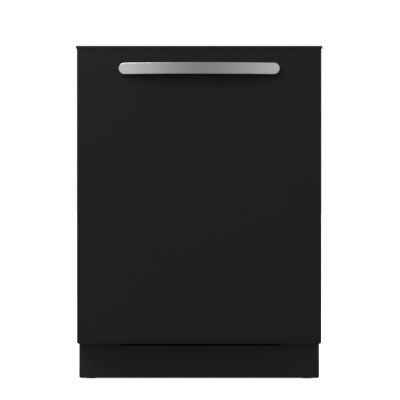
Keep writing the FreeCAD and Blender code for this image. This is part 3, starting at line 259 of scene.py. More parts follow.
def piece(name, bm, mat, nodes=(), body=None, sharp=35, recalc=True):
    """Turns bm into an object that rides on its body and stands for CAD nodes."""
    if recalc:
        bmesh.ops.recalc_face_normals(bm, faces=bm.faces[:])
    mesh = as_mesh(name, bm)
    mesh.shade_smooth()
    mesh.set_sharp_from_angle(angle=radians(sharp))
    obj = in_scene(name, mesh)
    mesh.materials.append(mat)
    flat = obj.modifiers.new("normals", "WEIGHTED_NORMAL")
    flat.keep_sharp = True
    nodes = [nodes] if isinstance(nodes, str) else list(nodes)
    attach(obj, body or BODY_OF[nodes[0]])
    if nodes:
        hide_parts(*nodes)
    return obj


# ---- Materials ----
FINISH = {}


def finish(name, colour, rough, metal=0.0, drift=0.08, patch=9.0, grain=900.0, bump=0.05,
           stretch=(1, 1, 1), coat=0.0, coat_rough=0.1, sheen=0.0, specular=0.5):
    """Adds a procedural surface to FINISH: drifting colour, uneven roughness and a fine bump."""
    mat = bpy.data.materials.new(name)
    mat.use_nodes = True
    nodes, links = mat.node_tree.nodes, mat.node_tree.links
    shader = nodes["Principled BSDF"]
    place = nodes.new("ShaderNodeTexCoord").outputs["Object"]
    scale = nodes.new("ShaderNodeMapping")
    scale.inputs["Scale"].default_value = stretch
    links.new(place, scale.inputs["Vector"])

    def grains(size, detail):
        tex = nodes.new("ShaderNodeTexNoise")
        tex.inputs["Scale"].default_value = size
        tex.inputs["Detail"].default_value = detail
        links.new(scale.outputs["Vector"], tex.inputs["Vector"])
        return tex.outputs["Fac"]

    slow, fine = grains(patch, 4.0), grains(grain, 2.0)
    ramp = nodes.new("ShaderNodeValToRGB")
    ramp.color_ramp.elements[0].position = 0.3
    ramp.color_ramp.elements[1].position = 0.7
    dark = [c * (1 - drift) for c in colour]
    light = [min(1.0, c * (1 + drift)) for c in colour]
    ramp.color_ramp.elements[0].color = (*dark, 1)
    ramp.color_ramp.elements[1].color = (*light, 1)
    links.new(slow, ramp.inputs["Fac"])
    links.new(ramp.outputs["Color"], shader.inputs["Base Color"])
    spread = nodes.new("ShaderNodeMapRange")
    spread.inputs["To Min"].default_value = rough * 0.88
    spread.inputs["To Max"].default_value = min(1.0, rough * 1.12)
    links.new(fine, spread.inputs["Value"])
    links.new(spread.outputs["Result"], shader.inputs["Roughness"])
    if bump:
        relief = nodes.new("ShaderNodeBump")
        relief.inputs["Strength"].default_value = bump
        relief.inputs["Distance"].default_value = 0.0004
        links.new(fine, relief.inputs["Height"])
        links.new(relief.outputs["Normal"], shader.inputs["Normal"])
    shader.inputs["Metallic"].default_value = metal
    shader.inputs["Coat Weight"].default_value = coat
    shader.inputs["Coat Roughness"].default_value = coat_rough
    shader.inputs["Sheen Weight"].default_value = sheen
    shader.inputs["Specular IOR Level"].default_value = specular
    FINISH[name] = mat
    return mat


finish("black_enamel", (0.0066, 0.0072, 0.0087), 0.42, drift=0.05, patch=3.0, grain=700.0, bump=0.03,
       specular=0.2)
# The door's black enamel, painted lighter for the kick plate: painted light against the shade of the door's
# overhang.
finish("toe_enamel_painted_light", (0.0098, 0.0106, 0.0126), 0.42, drift=0.05, patch=3.0, grain=700.0, bump=0.03,
       specular=0.28)
finish("console_black", (0.0072, 0.0076, 0.0088), 0.4, patch=5.0, grain=1200.0, specular=0.28)
finish("key_black", (0.02, 0.021, 0.023), 0.3, patch=20.0, grain=1500.0, bump=0.04)
finish("handle_silver", (0.52, 0.521, 0.527), 0.3, metal=1.0, drift=0.03, patch=6.0, grain=500.0,
       bump=0.02, stretch=(0.15, 1, 1))
finish("tub_steel", (0.74, 0.745, 0.75), 0.3, metal=0.92, drift=0.05, patch=4.0, grain=420.0,
       stretch=(1, 1, 0.12))
finish("zinc_steel", (0.5, 0.51, 0.525), 0.42, metal=0.9, drift=0.12, patch=24.0, grain=220.0, bump=0.04)
finish("filter_mesh", (0.5, 0.505, 0.51), 0.38, metal=1.0, drift=0.1, patch=20.0, grain=2600.0, bump=0.5)
finish("spring_steel", (0.3, 0.3, 0.31), 0.36, metal=1.0, drift=0.1, patch=60.0, bump=0.04)
finish("grey_plastic", (0.11, 0.114, 0.12), 0.45, patch=14.0, grain=1400.0, bump=0.08)
finish("light_plastic", (0.46, 0.465, 0.47), 0.42, patch=14.0, grain=1400.0, bump=0.06)
finish("rack_coating", (0.19, 0.197, 0.21), 0.36, patch=18.0, grain=1100.0, bump=0.08, coat=0.25,
       coat_rough=0.25)
finish("basket_grey", (0.15, 0.156, 0.165), 0.48, patch=16.0, grain=1300.0, bump=0.1)
finish("seal_rubber", (0.022, 0.022, 0.023), 0.66, patch=25.0, grain=1100.0, bump=0.12)
# near-black with no specular: painted shade, for the strip in the gap under the door
finish("painted_shade_black", (0.003, 0.003, 0.003), 0.95, patch=25.0, grain=1100.0, bump=0.12, specular=0.0)
finish("hose_grey", (0.2, 0.205, 0.21), 0.5, patch=22.0, bump=0.08)
finish("blanket_felt", (0.4, 0.395, 0.375), 0.93, drift=0.1, patch=160.0, bump=0.75, sheen=0.35,
       specular=0.1)
finish("pad_felt", (0.045, 0.044, 0.043), 0.95, drift=0.25, patch=60.0, grain=420.0, bump=0.7,
       sheen=0.25, specular=0.1)
finish("motor_metal", (0.33, 0.33, 0.335), 0.42, metal=1.0, drift=0.14, patch=50.0, grain=260.0, bump=0.06)
finish("element_sheath", (0.36, 0.345, 0.32), 0.34, metal=1.0, drift=0.3, patch=22.0, grain=700.0)
finish("board_green", (0.012, 0.085, 0.035), 0.4, drift=0.3, patch=90.0, grain=800.0)


EDGE_WIDTH = 0.0003
HARD = radians(28)
FLAT = radians(0.3)


def welded(node):
    """A CAD node's mesh, with its doubled vertices merged."""
    bm = bmesh.new()
    bm.from_mesh(NODES[node].data)
    bmesh.ops.remove_doubles(bm, verts=bm.verts[:], dist=WELD)
    return bm


def refined(node, mat=None):
    """A CAD node's shape with its hard edges rounded, as a mesh of its own."""
    bm = welded(node)
    bmesh.ops.dissolve_limit(bm, angle_limit=FLAT, verts=bm.verts[:], edges=bm.edges[:])
    hard = [e for e in bm.edges if e.is_manifold and e.calc_face_angle() > HARD]
    soften(bm, hard, EDGE_WIDTH, 2, clamp=False)
    return piece(node + "_shape", bm, mat or FINISH[SLOT_OF[node]], node, recalc=False)


for node in NODES:
    NODES[node].data.materials.clear()
    NODES[node].data.materials.append(FINISH[SLOT_OF[node]])


# ---- Shapes in millimetres ----
def made(name, bm, node=(), mat=None, slot=None, body=None, sharp=35):
    """piece(), for a bmesh built in millimetres."""
    bmesh.ops.scale(bm, vec=(MM, MM, MM), verts=bm.verts[:])
    return piece(name, bm, mat or FINISH[slot or SLOT_OF[node]], node, body, sharp)


def banded(rect, corner, section, axis="Y"):
    """A closed frame: a cross-section of (inset, depth) points run round a rounded rectangle."""
    x0, x1, z0, z1 = rect
    bm = bmesh.new()
    rings = []
    for inset, depth in section:
        outline = rounded_outline(rectangle(x0 + inset, x1 - inset, z0 + inset, z1 - inset),
                                  max(corner - inset, 0.4))
        rings.append([bm.verts.new(PLACE[axis](u, v, depth)) for u, v in outline])
    skin(bm, rings, endless=True)
    return bm


def even(path, step):
    """Points spaced evenly along a route."""
    result = [path[0].copy()]
    left = step
    for a, b in zip(path, path[1:]):
        length = (b - a).length
        while left <= length:
            result.append(a.lerp(b, left / length))
            left += step
        left -= length
    return result


def wires(routes):
    """Round wires, each given as (points, radius, bend, closed)."""
    bm = bmesh.new()
    for points, radius, bend, closed in routes:
        sweep(bent(points, bend, 6, closed), radius, 10, closed, bm=bm)
    return bm


def nut(radius, centre, thick):
    """A hexagon nut round a vertical stem."""
    corners = [(centre[0] + radius * cos(a), centre[1] + radius * sin(a))
               for a in (pi / 3 * k for k in range(6))]
    return prism(corners, centre[2], centre[2] + thick, "Z", 0.6)


# ---- Racks ----
WIRE, RIM, TINE = 2.0, 2.5, 1.6           # radii
WHEEL_X, WHEEL_Y, WHEEL_Z = 264.0, 180, 165.3
FOLD_X, FOLD_Z = 72, 203.4                # the folding row's foot wire
LOWER = {"half": 258.0, "front": -223.0, "back": 260.0, "floor": 195.0, "hoop": 300.0, "rim": 412.0,
         "cross": (-215, -180, -100, -20, 60, 180, 250), "long": [48 * k for k in range(-5, 6)]}
UPPER = {"half": 250.0, "front": -223.0, "back": 246.0, "floor": 472.0, "hoop": 530.0, "rim": 596.0,
         "cross": (-215, -140, -60, 20, 100, 180, 236), "long": [50 * k for k in range(-4, 5)]}


def rack_wires(rack):
    """Floor wires bent up into the walls, and the welded hoop and rim."""
    half, ahead, behind = rack["half"], rack["front"], rack["back"]
    side, front, back = half - RIM - WIRE, ahead + RIM + WIRE, behind - RIM - WIRE
    floor, rim = rack["floor"], rack["rim"]
    routes = []
    for y in rack["cross"]:
        routes.append(([(-side, y, rim), (-side, y, floor), (side, y, floor), (side, y, rim)],
                       WIRE, 14, False))
    for index, x in enumerate(rack["long"]):
        top = rim if index % 2 == 0 else rack["hoop"]
        z = floor + 2 * WIRE
        routes.append(([(x, front, top), (x, front, z), (x, back, z), (x, back, top)], WIRE, 12, False))
    for z in (rack["hoop"], rim):
        loop = [(-half, ahead, z), (half, ahead, z), (half, behind, z), (-half, behind, z)]
        routes.append((loop, RIM, 20, True))
    return wires(routes)


def tines(bm, x, foot, height, step=35.0):
    """A row of upright tines with thickened tips."""
    for index in range(-4, 5):
        y = index * step
        path = [Vector((x, y, foot + height * k / 8)) for k in range(9)]
        sweep(path, [TINE] * 6 + [TINE * 1.02, TINE * 1.2, TINE * 1.1], bm=bm)
    return bm


def lower_rack():
    """Bent wires, two rows of fixed tines and four moulded wheel carriers."""
    bm = rack_wires(LOWER)
    for x in (-48, 192):
        tines(bm, x, 199.5, 80)
    axle = [(0, 256), (7, 256), (7, 262.2), (3, 262.8), (3, 275.4), (5, 276), (5, 277.4), (4, 278), (0, 278)]
    parts = [bm]
    for y in (-WHEEL_Y, WHEEL_Y):
        plate = [(y - 16, 193), (y - 6, 160), (y + 6, 160), (y + 16, 193), (y + 16, 202), (y - 16, 202)]
        parts.append(both_sides(join(prism(rounded_outline(plate, 2.5), 254, 260.6, "X", 1.2),
                                     lathe(axle, (0, y, WHEEL_Z), "X", 28))))
    made("lower_rack_wires", join(*parts), "lower_rack")


def rack_wheels(node, y):
    """A moulded wheel with five webs, a left and a right one."""
    centre = (WHEEL_X, y, WHEEL_Z)
    rim = [(13.2, 1), (15.4, 0), (16.2, 0.2), (17, 1.6), (17, 9.4), (16.2, 10.8), (15.4, 11), (13.4, 11),
           (13.2, 10.2), (13.2, 1)]
    disc = [(3.1, 0.6), (13.6, 3.2), (13.6, 5.2), (6.2, 4.4), (6.2, 10.2), (5.6, 10.8), (3.1, 10.8),
            (3.1, 0.6)]
    webs = [placed(box((WHEEL_X + 4.2, -0.9, 5.4), (WHEEL_X + 9.4, 0.9, 13.6), 0.3, 2),
                   2 * pi * k / 5, "X", (0, y, WHEEL_Z)) for k in range(5)]
    wheel = join(lathe(rim, centre, "X", 48), lathe(disc, centre, "X"), *webs)
    made(node + "_moulded", both_sides(wheel), node)


def folding_row():
    """Tines on a foot wire that turns in two clips."""
    bm = wires([([(FOLD_X, -150, FOLD_Z), (FOLD_X, 150, FOLD_Z)], WIRE, 1, False)])
    tines(bm, FOLD_X, FOLD_Z + 1, 77)
    clip = [(2.1, 0), (3.6, 0.4), (3.9, 1.5), (3.9, 6.5), (3.6, 7.6), (2.1, 8), (2.1, 0)]
    clips = [lathe(clip, (FOLD_X, y, FOLD_Z), "Y", 20) for y in (-148, 140)]
    made("folding_tines_row", join(bm, *clips), "folding_tines")


def cup_shelf():
    """Wire loop with five cross wires."""
    x, z = -240.0, 548.0
    routes = [([(x, -150, z), (x + 88, -152, z), (x + 88, 152, z), (x, 150, z)], WIRE, 10, True)]
    routes += [([(x, 50 * k, z), (x + 88, 50 * k, z)], TINE, 1, False) for k in range(-2, 3)]
    made("cup_shelf_wires", wires(routes), "cup_shelf")


def cutlery_basket():
    """Open lattice basket with three cells and a carrying bar."""
    x0, x1, y0, y1, z0, z1 = -244.0, -136.0, -170.0, 170.0, 201.4, 326.0
    wall, pitch = 2.4, 9.4
    third = (y1 - y0) / 3
    dividers = (y0 + third, y0 + 2 * third)
    parts = []
    for low, high in ((z0, z0 + 9), (z0 + 56, z0 + 61), (z1 - 11, z1)):
        section = [(0.0, low + 0.6), (0.0, high - 0.6), (0.6, high), (wall - 0.6, high),
                   (wall, high - 0.6), (wall, low + 0.6), (wall - 0.6, low), (0.6, low)]
        parts.append(banded((x0, x1, y0, y1), 8, section, "Z"))

    def slat(a, b):
        parts.append(box(a, b, 0.5, 1))

    for k in range(35):
        y = y0 + 10 + k * pitch
        for x in (x0 + 0.3, x1 - wall + 0.3):
            slat((x, y - 1.7, z0 + 4), (x + wall - 0.6, y + 1.7, z1 - 5))
    for k in range(10):
        x = x0 + 11.5 + k * pitch
        for y in (y0 + 0.3, y1 - wall + 0.3):
            slat((x - 1.7, y, z0 + 4), (x + 1.7, y + wall - 0.6, z1 - 5))
        for y in dividers:
            slat((x - 1.7, y - 1.2, z0 + 4), (x + 1.7, y - 1.2 + wall, z1 - 5))
        slat((x - 1.5, y0 + 1, z0 + 0.3), (x + 1.5, y1 - 1, z0 + 2.3))
    for y in dividers:
        for low, high in ((z0, z0 + 6), (z0 + 56, z0 + 61), (z1 - 9, z1)):
            slat((x0 + 1, y - 1.4, low), (x1 - 1, y + 1.4, high))
    for k in range(28):
        y = y0 + 8.5 + k * 12
        slat((x0 + 1, y - 1.5, z0 + 0.1), (x1 - 1, y + 1.5, z0 + 2.1))
    middle = (x0 + x1) / 2
    for y in dividers:
        parts.append(box((middle - 4, y - 2.5, z0 + 20), (middle + 4, y + 2.5, z1 + 27), 1.2, 3))
    bar = [(0, 0), (4.2, 0), (5, 0.9), (5, 20), (4.4, 26), (4.4, third - 21), (5, third - 15),
           (5, third + 4.1), (4.2, third + 5), (0, third + 5)]
    parts.append(lathe(bar, (middle, y0 + third - 2.5, z1 + 26), "Y", 28))
    made("cutlery_basket_lattice", join(*parts), "cutlery_basket")


# ---- Wash system ----
ARM_BORE = 6.1


def arm_shape(node, reach, centre_y, low):
    """Spray arm: two curved blades with a welded seam, nozzles and a hub."""
    half = [(12, -12), (24, -16), (reach * 0.7, -15), (reach - 12, -9), (reach, -2), (reach, 4),
            (reach - 14, 10), (reach * 0.7, 11), (24, 14), (12, 12)]
    blade = rounded_outline(half, [1, 2, 30, 8, 2.5, 2.5, 8, 30, 2, 1], 6)
    parts = []
    for way in (1, -1):
        outline = [(way * x, centre_y + way * y) for x, y in blade]
        seam = [(way * x * 1.003, centre_y + way * y * 1.07) for x, y in blade]
        parts += [prism(outline, low + 1.2, low + 10, "Z", 2.8, 4),
                  prism(seam, low + 4.4, low + 5.6, "Z", 0.4, 2)]
    nozzle = [(0, -0.9), (1.2, -0.9), (1.5, 0.9), (2.2, 1.2), (3.4, 0.9), (4.0, 0.1), (4.2, -0.6),
              (4.2, -1.6), (0, -1.6)]
    for step in range(5):
        x = reach * (0.34 + 0.13 * step)
        for side in (-1, 1):
            parts.append(lathe(nozzle, (side * x, centre_y - 2 * side, low + 10), "Z", 20))
    hub = [(ARM_BORE, 0), (22.6, 0), (24, 1.2), (24, 9.6), (22.4, 11.2), (15.6, 11.2), (14, 12.4),
           (14, 14.2), (13.2, 15), (ARM_BORE, 15), (ARM_BORE, 0)]
    parts.append(lathe(hub, (0, centre_y, low), "Z", 48))
    made(node + "_shell", join(*parts), node)


def heating_element():
    """Bent sheath with two terminals through the tub's floor."""
    x_end, y_end, side, front, z = 30.0, 232.0, 175, -165, 142.0
    loop = [(-x_end, y_end, z), (-side, y_end, z), (-side, front, z), (side, front, z), (side, y_end, z),
            (x_end, y_end, z)]
    sheath = sweep(bent(loop, 50, 14), 3.5, 16)
    post = [(0, 112), (3.4, 112), (3.6, 119), (6, 119.4), (6, 131.6), (5.2, 132.2), (5.2, 133), (6, 134),
            (6, 145.4), (5, 147), (0, 147)]
    ends = [lathe(post, (x, y_end, 0), "Z", 24) for x in (-x_end, x_end)]
    made("heater_loop", join(sheath, *ends), "heating_element", sharp=50)


def drain_line():
    """Corrugated hose with two clamps, and the moulded spigot."""
    route = bent([(-98, 76.4, 72), (-98, 140, 72), (-150, 230, 62), (-150, 284.6, 62)], 40, 12)
    step, pitch, cuff = 1.1, 5.2, 14
    path = even(route, step)
    radii = [8.2 if i < cuff or i > len(path) - cuff else 7.9 + 0.6 * sin(2 * pi * i * step / pitch)
             for i in range(len(path))]
    clamp = [(8.3, 0), (9.1, 0.3), (9.1, 6.2), (8.3, 6.5), (8.3, 0)]
    spigot = [(7.5, 0.4), (9.6, 0), (10, 0.6), (10, 13), (15, 13), (15, 15.6), (14.6, 16), (10, 16), (10, 31),
              (10, 37), (9.2, 39.5), (10, 40), (9.2, 42), (7.5, 42), (7.5, 0.4)]
    parts = [sweep(path, radii, 24, domed=False), lathe(clamp, (-98, 80, 72), "Y"),
             lathe(clamp, (-150, 274.5, 62), "Y"), lathe(spigot, (-150, 285, 62), "Y")]
    made("drain_line", join(*parts), "drain_hose", sharp=60)


def inlet_hose():
    """Plain tube from the valve up to the air break."""
    route = bent([(-238, -100, 86.3), (-238, -100, 104), (-288, -10, 104), (-288, -10, 329.7)], 13, 12)
    made("fill_hose", sweep(even(route, 3), 4.5, 20, domed=False), "inlet_hose")


def springs():
    """Counterbalance springs: a close coil, a hooked end and the cord."""
    x, z = 288.0, 98.0
    turns, start, end, radius, wire = 46, -197.0, -64.0, 4.3, 0.62
    points = 14 * turns
    coil = [Vector((x + radius * cos(2 * pi * turns * t), start + (end - start) * t,
                    z + radius * sin(2 * pi * turns * t)))
            for t in (k / points for k in range(points + 1))]
    bm = sweep(coil, wire, 7)
    hook = bent([(x, -64, z + 4.3), (x, -62, z + 2), (x, -58.5, z + 3.8), (x, -54.5, z + 3.8), (x, -52.6, z),
                 (x, -54.5, z - 2.8)], 2, 5)
    sweep(hook, wire, 8, bm=bm)
    sweep(bent([(x, start, z + 4.3), (x, start - 3, z + 2), (x, start - 7, z)], 2, 5), wire, 8, bm=bm)
    sweep([Vector((x, y, z)) for y in (-245, -230, -215, -203)], 1.2, 12, bm=bm)
    made("door_spring_coils", both_sides(bm), "door_springs")


def gasket():
    """Bulb seal: a clipped foot and a hollow-looking round bead."""
    y = -242.0
    foot = [(0.4, y), (0.2, y - 0.9), (1.2, y - 1.7)]
    bead = [(5.0 + 3.4 * cos(a), y - 3.0 - 2.9 * sin(a)) for a in
            (pi + radians(20) - radians(220) * k / 10 for k in range(11))]
    section = foot + bead + [(9.2, y - 1.6), (9.8, y - 0.8), (9.6, y)]
    made("gasket_bulb", banded((-295, 295, 134, 806), 14, section), "tub_gasket", sharp=60)


def front_frame():
    """Flanged ring round the tub's mouth, with rounded corners inside."""
    front, back = -242.0, -238.0
    edge = [(0.0, back), (0.0, front + 0.8), (0.3, front + 0.3), (0.8, front)]
    outlines = [(rounded_outline(rectangle(-297 + inset, 297 - inset, 112 + inset, 812 - inset), 3.0), y)
                for inset, y in edge]
    outlines += [(rounded_outline(rectangle(-281 - inset, 281 + inset, 148 - inset, 798 + inset),
                                  15.0 + inset), y) for inset, y in reversed(edge)]
    bm = bmesh.new()
    skin(bm, [[bm.verts.new((u, y, v)) for u, v in line] for line, y in outlines], endless=True)
    made("mouth_frame", bm, "tub_front_frame")


def tub():
    """Pressed tub: sheet walls with soft corners and raised stiffening panels."""
    half, top, low, front, rear, soft, sheet = 281.0, 798.0, 148.0, -238.0, 294.0, 15.0, 2.0
    quarter = [pi / 2 * k / 8 for k in range(1, 9)]

    def line(grow, inset, y):
        x, z, r = half + grow - inset, top + grow - inset, max(soft + grow - inset, 3.0)
        side = [(-x, low + (z - r - low) * k / 10) for k in range(11)]
        side += [(-x + r - r * cos(a), z - r + r * sin(a))
                 for a in quarter]
        roof = [((x - r) * (k / 5 - 1), z) for k in range(1, 10)]
        outline = side + roof + [(-u, v) for u, v in reversed(side)]
        return [bm.verts.new((u, y, v)) for u, v in outline]

    bm = bmesh.new()
    skins = []
    for grow in (0.0, sheet):
        r = soft + grow
        end = rear + grow
        rings = [line(grow, 0.0, front + (end - r - front) * k / 8) for k in range(9)]
        rings += [line(grow, r * (1 - cos(a)), end - r + r * sin(a))
                  for a in quarter]
        for near, far in zip(rings, rings[1:]):
            for k in range(len(near) - 1):
                bm.faces.new((near[k], near[k + 1], far[k + 1], far[k]))
        bm.faces.new(rings[-1])
        skins.append(rings)
    inner, outer = skins
    for k in range(len(inner[0]) - 1):
        bm.faces.new((inner[0][k], inner[0][k + 1], outer[0][k + 1], outer[0][k]))
    for end in (0, -1):
        for (a, b), (c, d) in zip(zip(inner, inner[1:]), zip(outer, outer[1:])):
            bm.faces.new((a[end], b[end], d[end], c[end]))
    bm.faces.new((inner[-1][0], inner[-1][-1], outer[-1][-1], outer[-1][0]))
    parts = [bm]
    for z0, z1 in ((216, 330), (352, 466), (580, 700)):
        parts.append(both_sides(box((279.4, -205, z0), (281.4, 262, z1), 1.3, 4)))
    for x0, x1 in ((-240, -30), (30, 240)):
        for z0, z1 in ((190, 400), (430, 640)):
            parts.append(box((x0, 292.4, z0), (x1, 294.4, z1), 1.3, 4))
    stud = lathe([(0, 268.4), (2.6, 268.4), (3, 268.9), (3, 279), (5, 279.4), (5.4, 282), (0, 282)],
                 (0, -205, 532), "X", 24)
    made("tub_walls", join(*parts, both_sides(stud)), "tub_wrapper")


def leg(node, x, y):
    """Moulded pad, lock nut and threaded stem."""
    pitch = 1.25
    pad = lathe([(0, 0), (15.2, 0), (16, 0.8), (16, 3.4), (14.6, 5.2), (9, 6), (0, 6)], (x, y, 0), "Z", 40)
    stem = [(0, 5), (3.6, 5), (4.0, 12.2)]
    z = 12.6
    while z < 56:
        stem += [(3.45, z), (4.0, z + 0.55), (4.0, z + 0.7)]
        z += pitch
    stem += [(3.4, 57.6), (3.0, 58), (0, 58)]
    made(node + "_screw", join(pad, lathe(stem, (x, y, 0), "Z", 24), nut(7.5, (x, y, 6), 6)), node)


PUMP_Y, PUMP_Z = 30.0, 72.0               # the axis of both pumps


def span(x0, x1):
    """Which way a piece points along X, and how long it is."""
    return (1 if x1 > x0 else -1), abs(x1 - x0)


def motor(name, node, x0, x1, radius, extra=()):
    """Pump motor: end bells, laminated core and terminal block."""
    y, z = PUMP_Y, PUMP_Z
    way, long = span(x0, x1)
    core0, core1 = long * 0.24, long * 0.74
    profile = [(0, 0), (radius * 0.86, 0), (radius * 0.92, 1.2), (radius * 0.92, core0 - 2), (radius, core0)]
    lamination = 2.4
    at = core0
    while at + lamination < core1:
        profile += [(radius, at + 1.5), (radius - 0.7, at + 1.7), (radius - 0.7, at + 2.2),
                    (radius, at + lamination)]
        at += lamination
    profile += [(radius, core1), (radius * 0.9, core1 + 2), (radius * 0.88, long - 5),
                (radius * 0.78, long - 1.5), (radius * 0.5, long - 0.8), (radius * 0.3, long), (0, long)]
    profile = [(r, d * way) for r, d in profile]
    middle = (x0 + x1) / 2
    block = box((middle - 10, y - 12, z - radius - 8), (middle + 10, y + 12, z - radius + 6), 1.2, 3)
    tabs = [box((middle - 6, y + k * 7 - 2, z - radius - 7.9), (middle + 6, y + k * 7 + 2, z - radius - 3),
                0.4, 1) for k in (-1, 0, 1)]
    made(name, join(lathe(profile, (x0, y, z), "X", 56), block, *tabs, *extra), node)


def volute(x0, x1, radius, neck, neck_end):
    """Pump housing with a bolted rim, neck and outlet collar."""
    y, z = PUMP_Y, PUMP_Z
    way, long = span(x0, x1)
    profile = [(0, 0), (neck, 0), (neck + 3, 0.4), (radius * 0.8, 2), (radius - 1, 5), (radius, 8),
               (radius, long - 7), (radius - 1.2, long - 6), (radius - 1.2, long - 4.8), (radius, long - 4),
               (radius, long - 0.8), (radius - 0.8, long), (0, long)]
    shell = lathe([(r, d * way) for r, d in profile], (x0, y, z), "X", 56)
    near = min(abs(x0), abs(x1)) * way
    inward = abs(near - neck_end) * way * -1
    tube = lathe([(0, 0), (neck, 0), (neck, inward), (0, inward)], (near, y, z), "X", 40)
    clamp = lathe([(neck, 0), (neck + 1.2, 0.3), (neck + 1.2, 6.7), (neck, 7), (neck, 0)],
                  ((near + 31 * way) / 2 - 3.5, y, z), "X", 40)
    lug = [(0, 0), (3.0, 0), (3.4, 0.4), (3.4, 5.6), (3.0, 6), (0, 6)]
    lug_x = max(x0, x1) - 6.5 if way > 0 else min(x0, x1) + 0.5
    lugs = []
    for k in range(5):
        a = 2 * pi * k / 5 + 0.9
        lugs.append(lathe(lug, (lug_x, y + (radius - 3.6) * cos(a), z + (radius - 3.6) * sin(a)),
                          "X", 16))
    return join(shell, tube, clamp, *lugs)


# ---- Padded pieces ----
def pillow(i, j, cell):
    """0 on a seam, rising to 1 in the middle of a quilted cell."""
    u, v = (i % cell[0]) / cell[0], (j % cell[1]) / cell[1]
    return (sin(pi * u) * sin(pi * v)) ** 0.45


PUFF_FRAMES = 16
START_PUFF = 0.25                         # share of the lift given before the simulation
SEAM = 0.02                               # a point this low in its cell is stitched down
CREASE = 0.00045


def inflate(obj, pins):
    """Swells the free part of a closed mesh with a short cloth simulation."""
    scene = bpy.context.scene
    group = obj.vertex_groups.new(name="pins")
    group.add(pins, 1.0, "REPLACE")
    cloth = obj.modifiers.new("cloth", "CLOTH")
    settings = cloth.settings
    settings.vertex_group_mass = "pins"
    settings.quality = 6
    settings.mass = 0.15
    settings.tension_stiffness = settings.compression_stiffness = 6
    settings.shear_stiffness = 3
    settings.bending_stiffness = 0.4
    settings.use_pressure = True
    settings.uniform_pressure_force = 14.0
    settings.effector_weights.gravity = 0.0
    cloth.collision_settings.use_collision = False
    cloth.point_cache.frame_start, cloth.point_cache.frame_end = 1, PUFF_FRAMES
    for step in range(1, PUFF_FRAMES + 1):
        scene.frame_set(step)
    solved = obj.evaluated_get(bpy.context.evaluated_depsgraph_get())
    places = [vert.co.copy() for vert in solved.data.vertices]
    obj.modifiers.remove(cloth)
    obj.vertex_groups.remove(group)
    scene.frame_set(1)
    return places


def quilt(name, node, size, spot, cell, gap, puff, skip=lambda i, j: False, simulate=True, fill=0.5):
    """A padded sheet stitched in cells. spot(i, j) gives a point on its inner face and the way out."""
    kept = [(i, j) for i in range(size[0]) for j in range(size[1]) if not skip(i, j)]
    used = sorted({(i + a, j + b) for i, j in kept for a in (0, 1) for b in (0, 1)})
    faces = set(kept)
    rim = {(i, j) for i, j in used
           if not all((i - a, j - b) in faces for a in (0, 1) for b in (0, 1))}
    bases = {key: spot(*key) for key in used}
    bm = bmesh.new()
    inner = {key: bm.verts.new(bases[key][0]) for key in used}
    outer = {}
    for key in used:
        point, way = bases[key]
        start = 0.0 if key in rim else pillow(*key, cell) * puff * (START_PUFF if simulate else 1.0)
        outer[key] = bm.verts.new(point + way * (gap + start))
    order = {key: len(used) + index for index, key in enumerate(used)}
    pins = list(range(len(used))) + [order[k] for k in used if k in rim or pillow(*k, cell) < SEAM]
    for i, j in kept:
        ring = [(i, j), (i + 1, j), (i + 1, j + 1), (i, j + 1)]
        bm.faces.new([outer[k] for k in ring])
        bm.faces.new([inner[k] for k in reversed(ring)])
    for i, j in kept:
        ring = [(i, j), (i + 1, j), (i + 1, j + 1), (i, j + 1)]
        beside = [(i, j - 1), (i + 1, j), (i, j + 1), (i - 1, j)]
        for (a, b), neighbour in zip(around(ring), beside):
            if neighbour not in faces:
                bm.faces.new([outer[b], outer[a], inner[a], inner[b]])
    bmesh.ops.recalc_face_normals(bm, faces=bm.faces[:])
    mesh = as_mesh(name, bm)
    obj = in_scene(name, mesh)
    if simulate:
        places = inflate(obj, pins)
        swell = {key: (places[order[key]] - bases[key][0]).dot(bases[key][1]) - gap for key in used}
        full = max(sorted(swell.values())[int(len(swell) * 0.9)], 1e-5)    # nine tenths stay under it
        for key in used:
            vert = mesh.vertices[order[key]]
            point, way = bases[key]
            off = places[order[key]] - point
            lift = gap + puff * max(0.0, min(1.0, swell[key] / full))
            side = off - way * off.dot(way)
            vert.co = point + way * lift + side * 0.5
    for key in used:
        if key in rim:
            continue
        vert = mesh.vertices[order[key]]
        point, way = bases[key]
        crease = noise.noise(vert.co * 38.0) + 0.5 * noise.noise(vert.co * 90.0)
        vert.co += way * crease * CREASE * (0.3 + pillow(*key, cell))
    smooth = obj.modifiers.new("smooth", "SUBSURF")
    smooth.levels = smooth.render_levels = 1
    mesh.shade_smooth()
    mesh.materials.append(FINISH[SLOT_OF[node]])
    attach(obj, BODY_OF[node])
    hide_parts(node)
    return obj


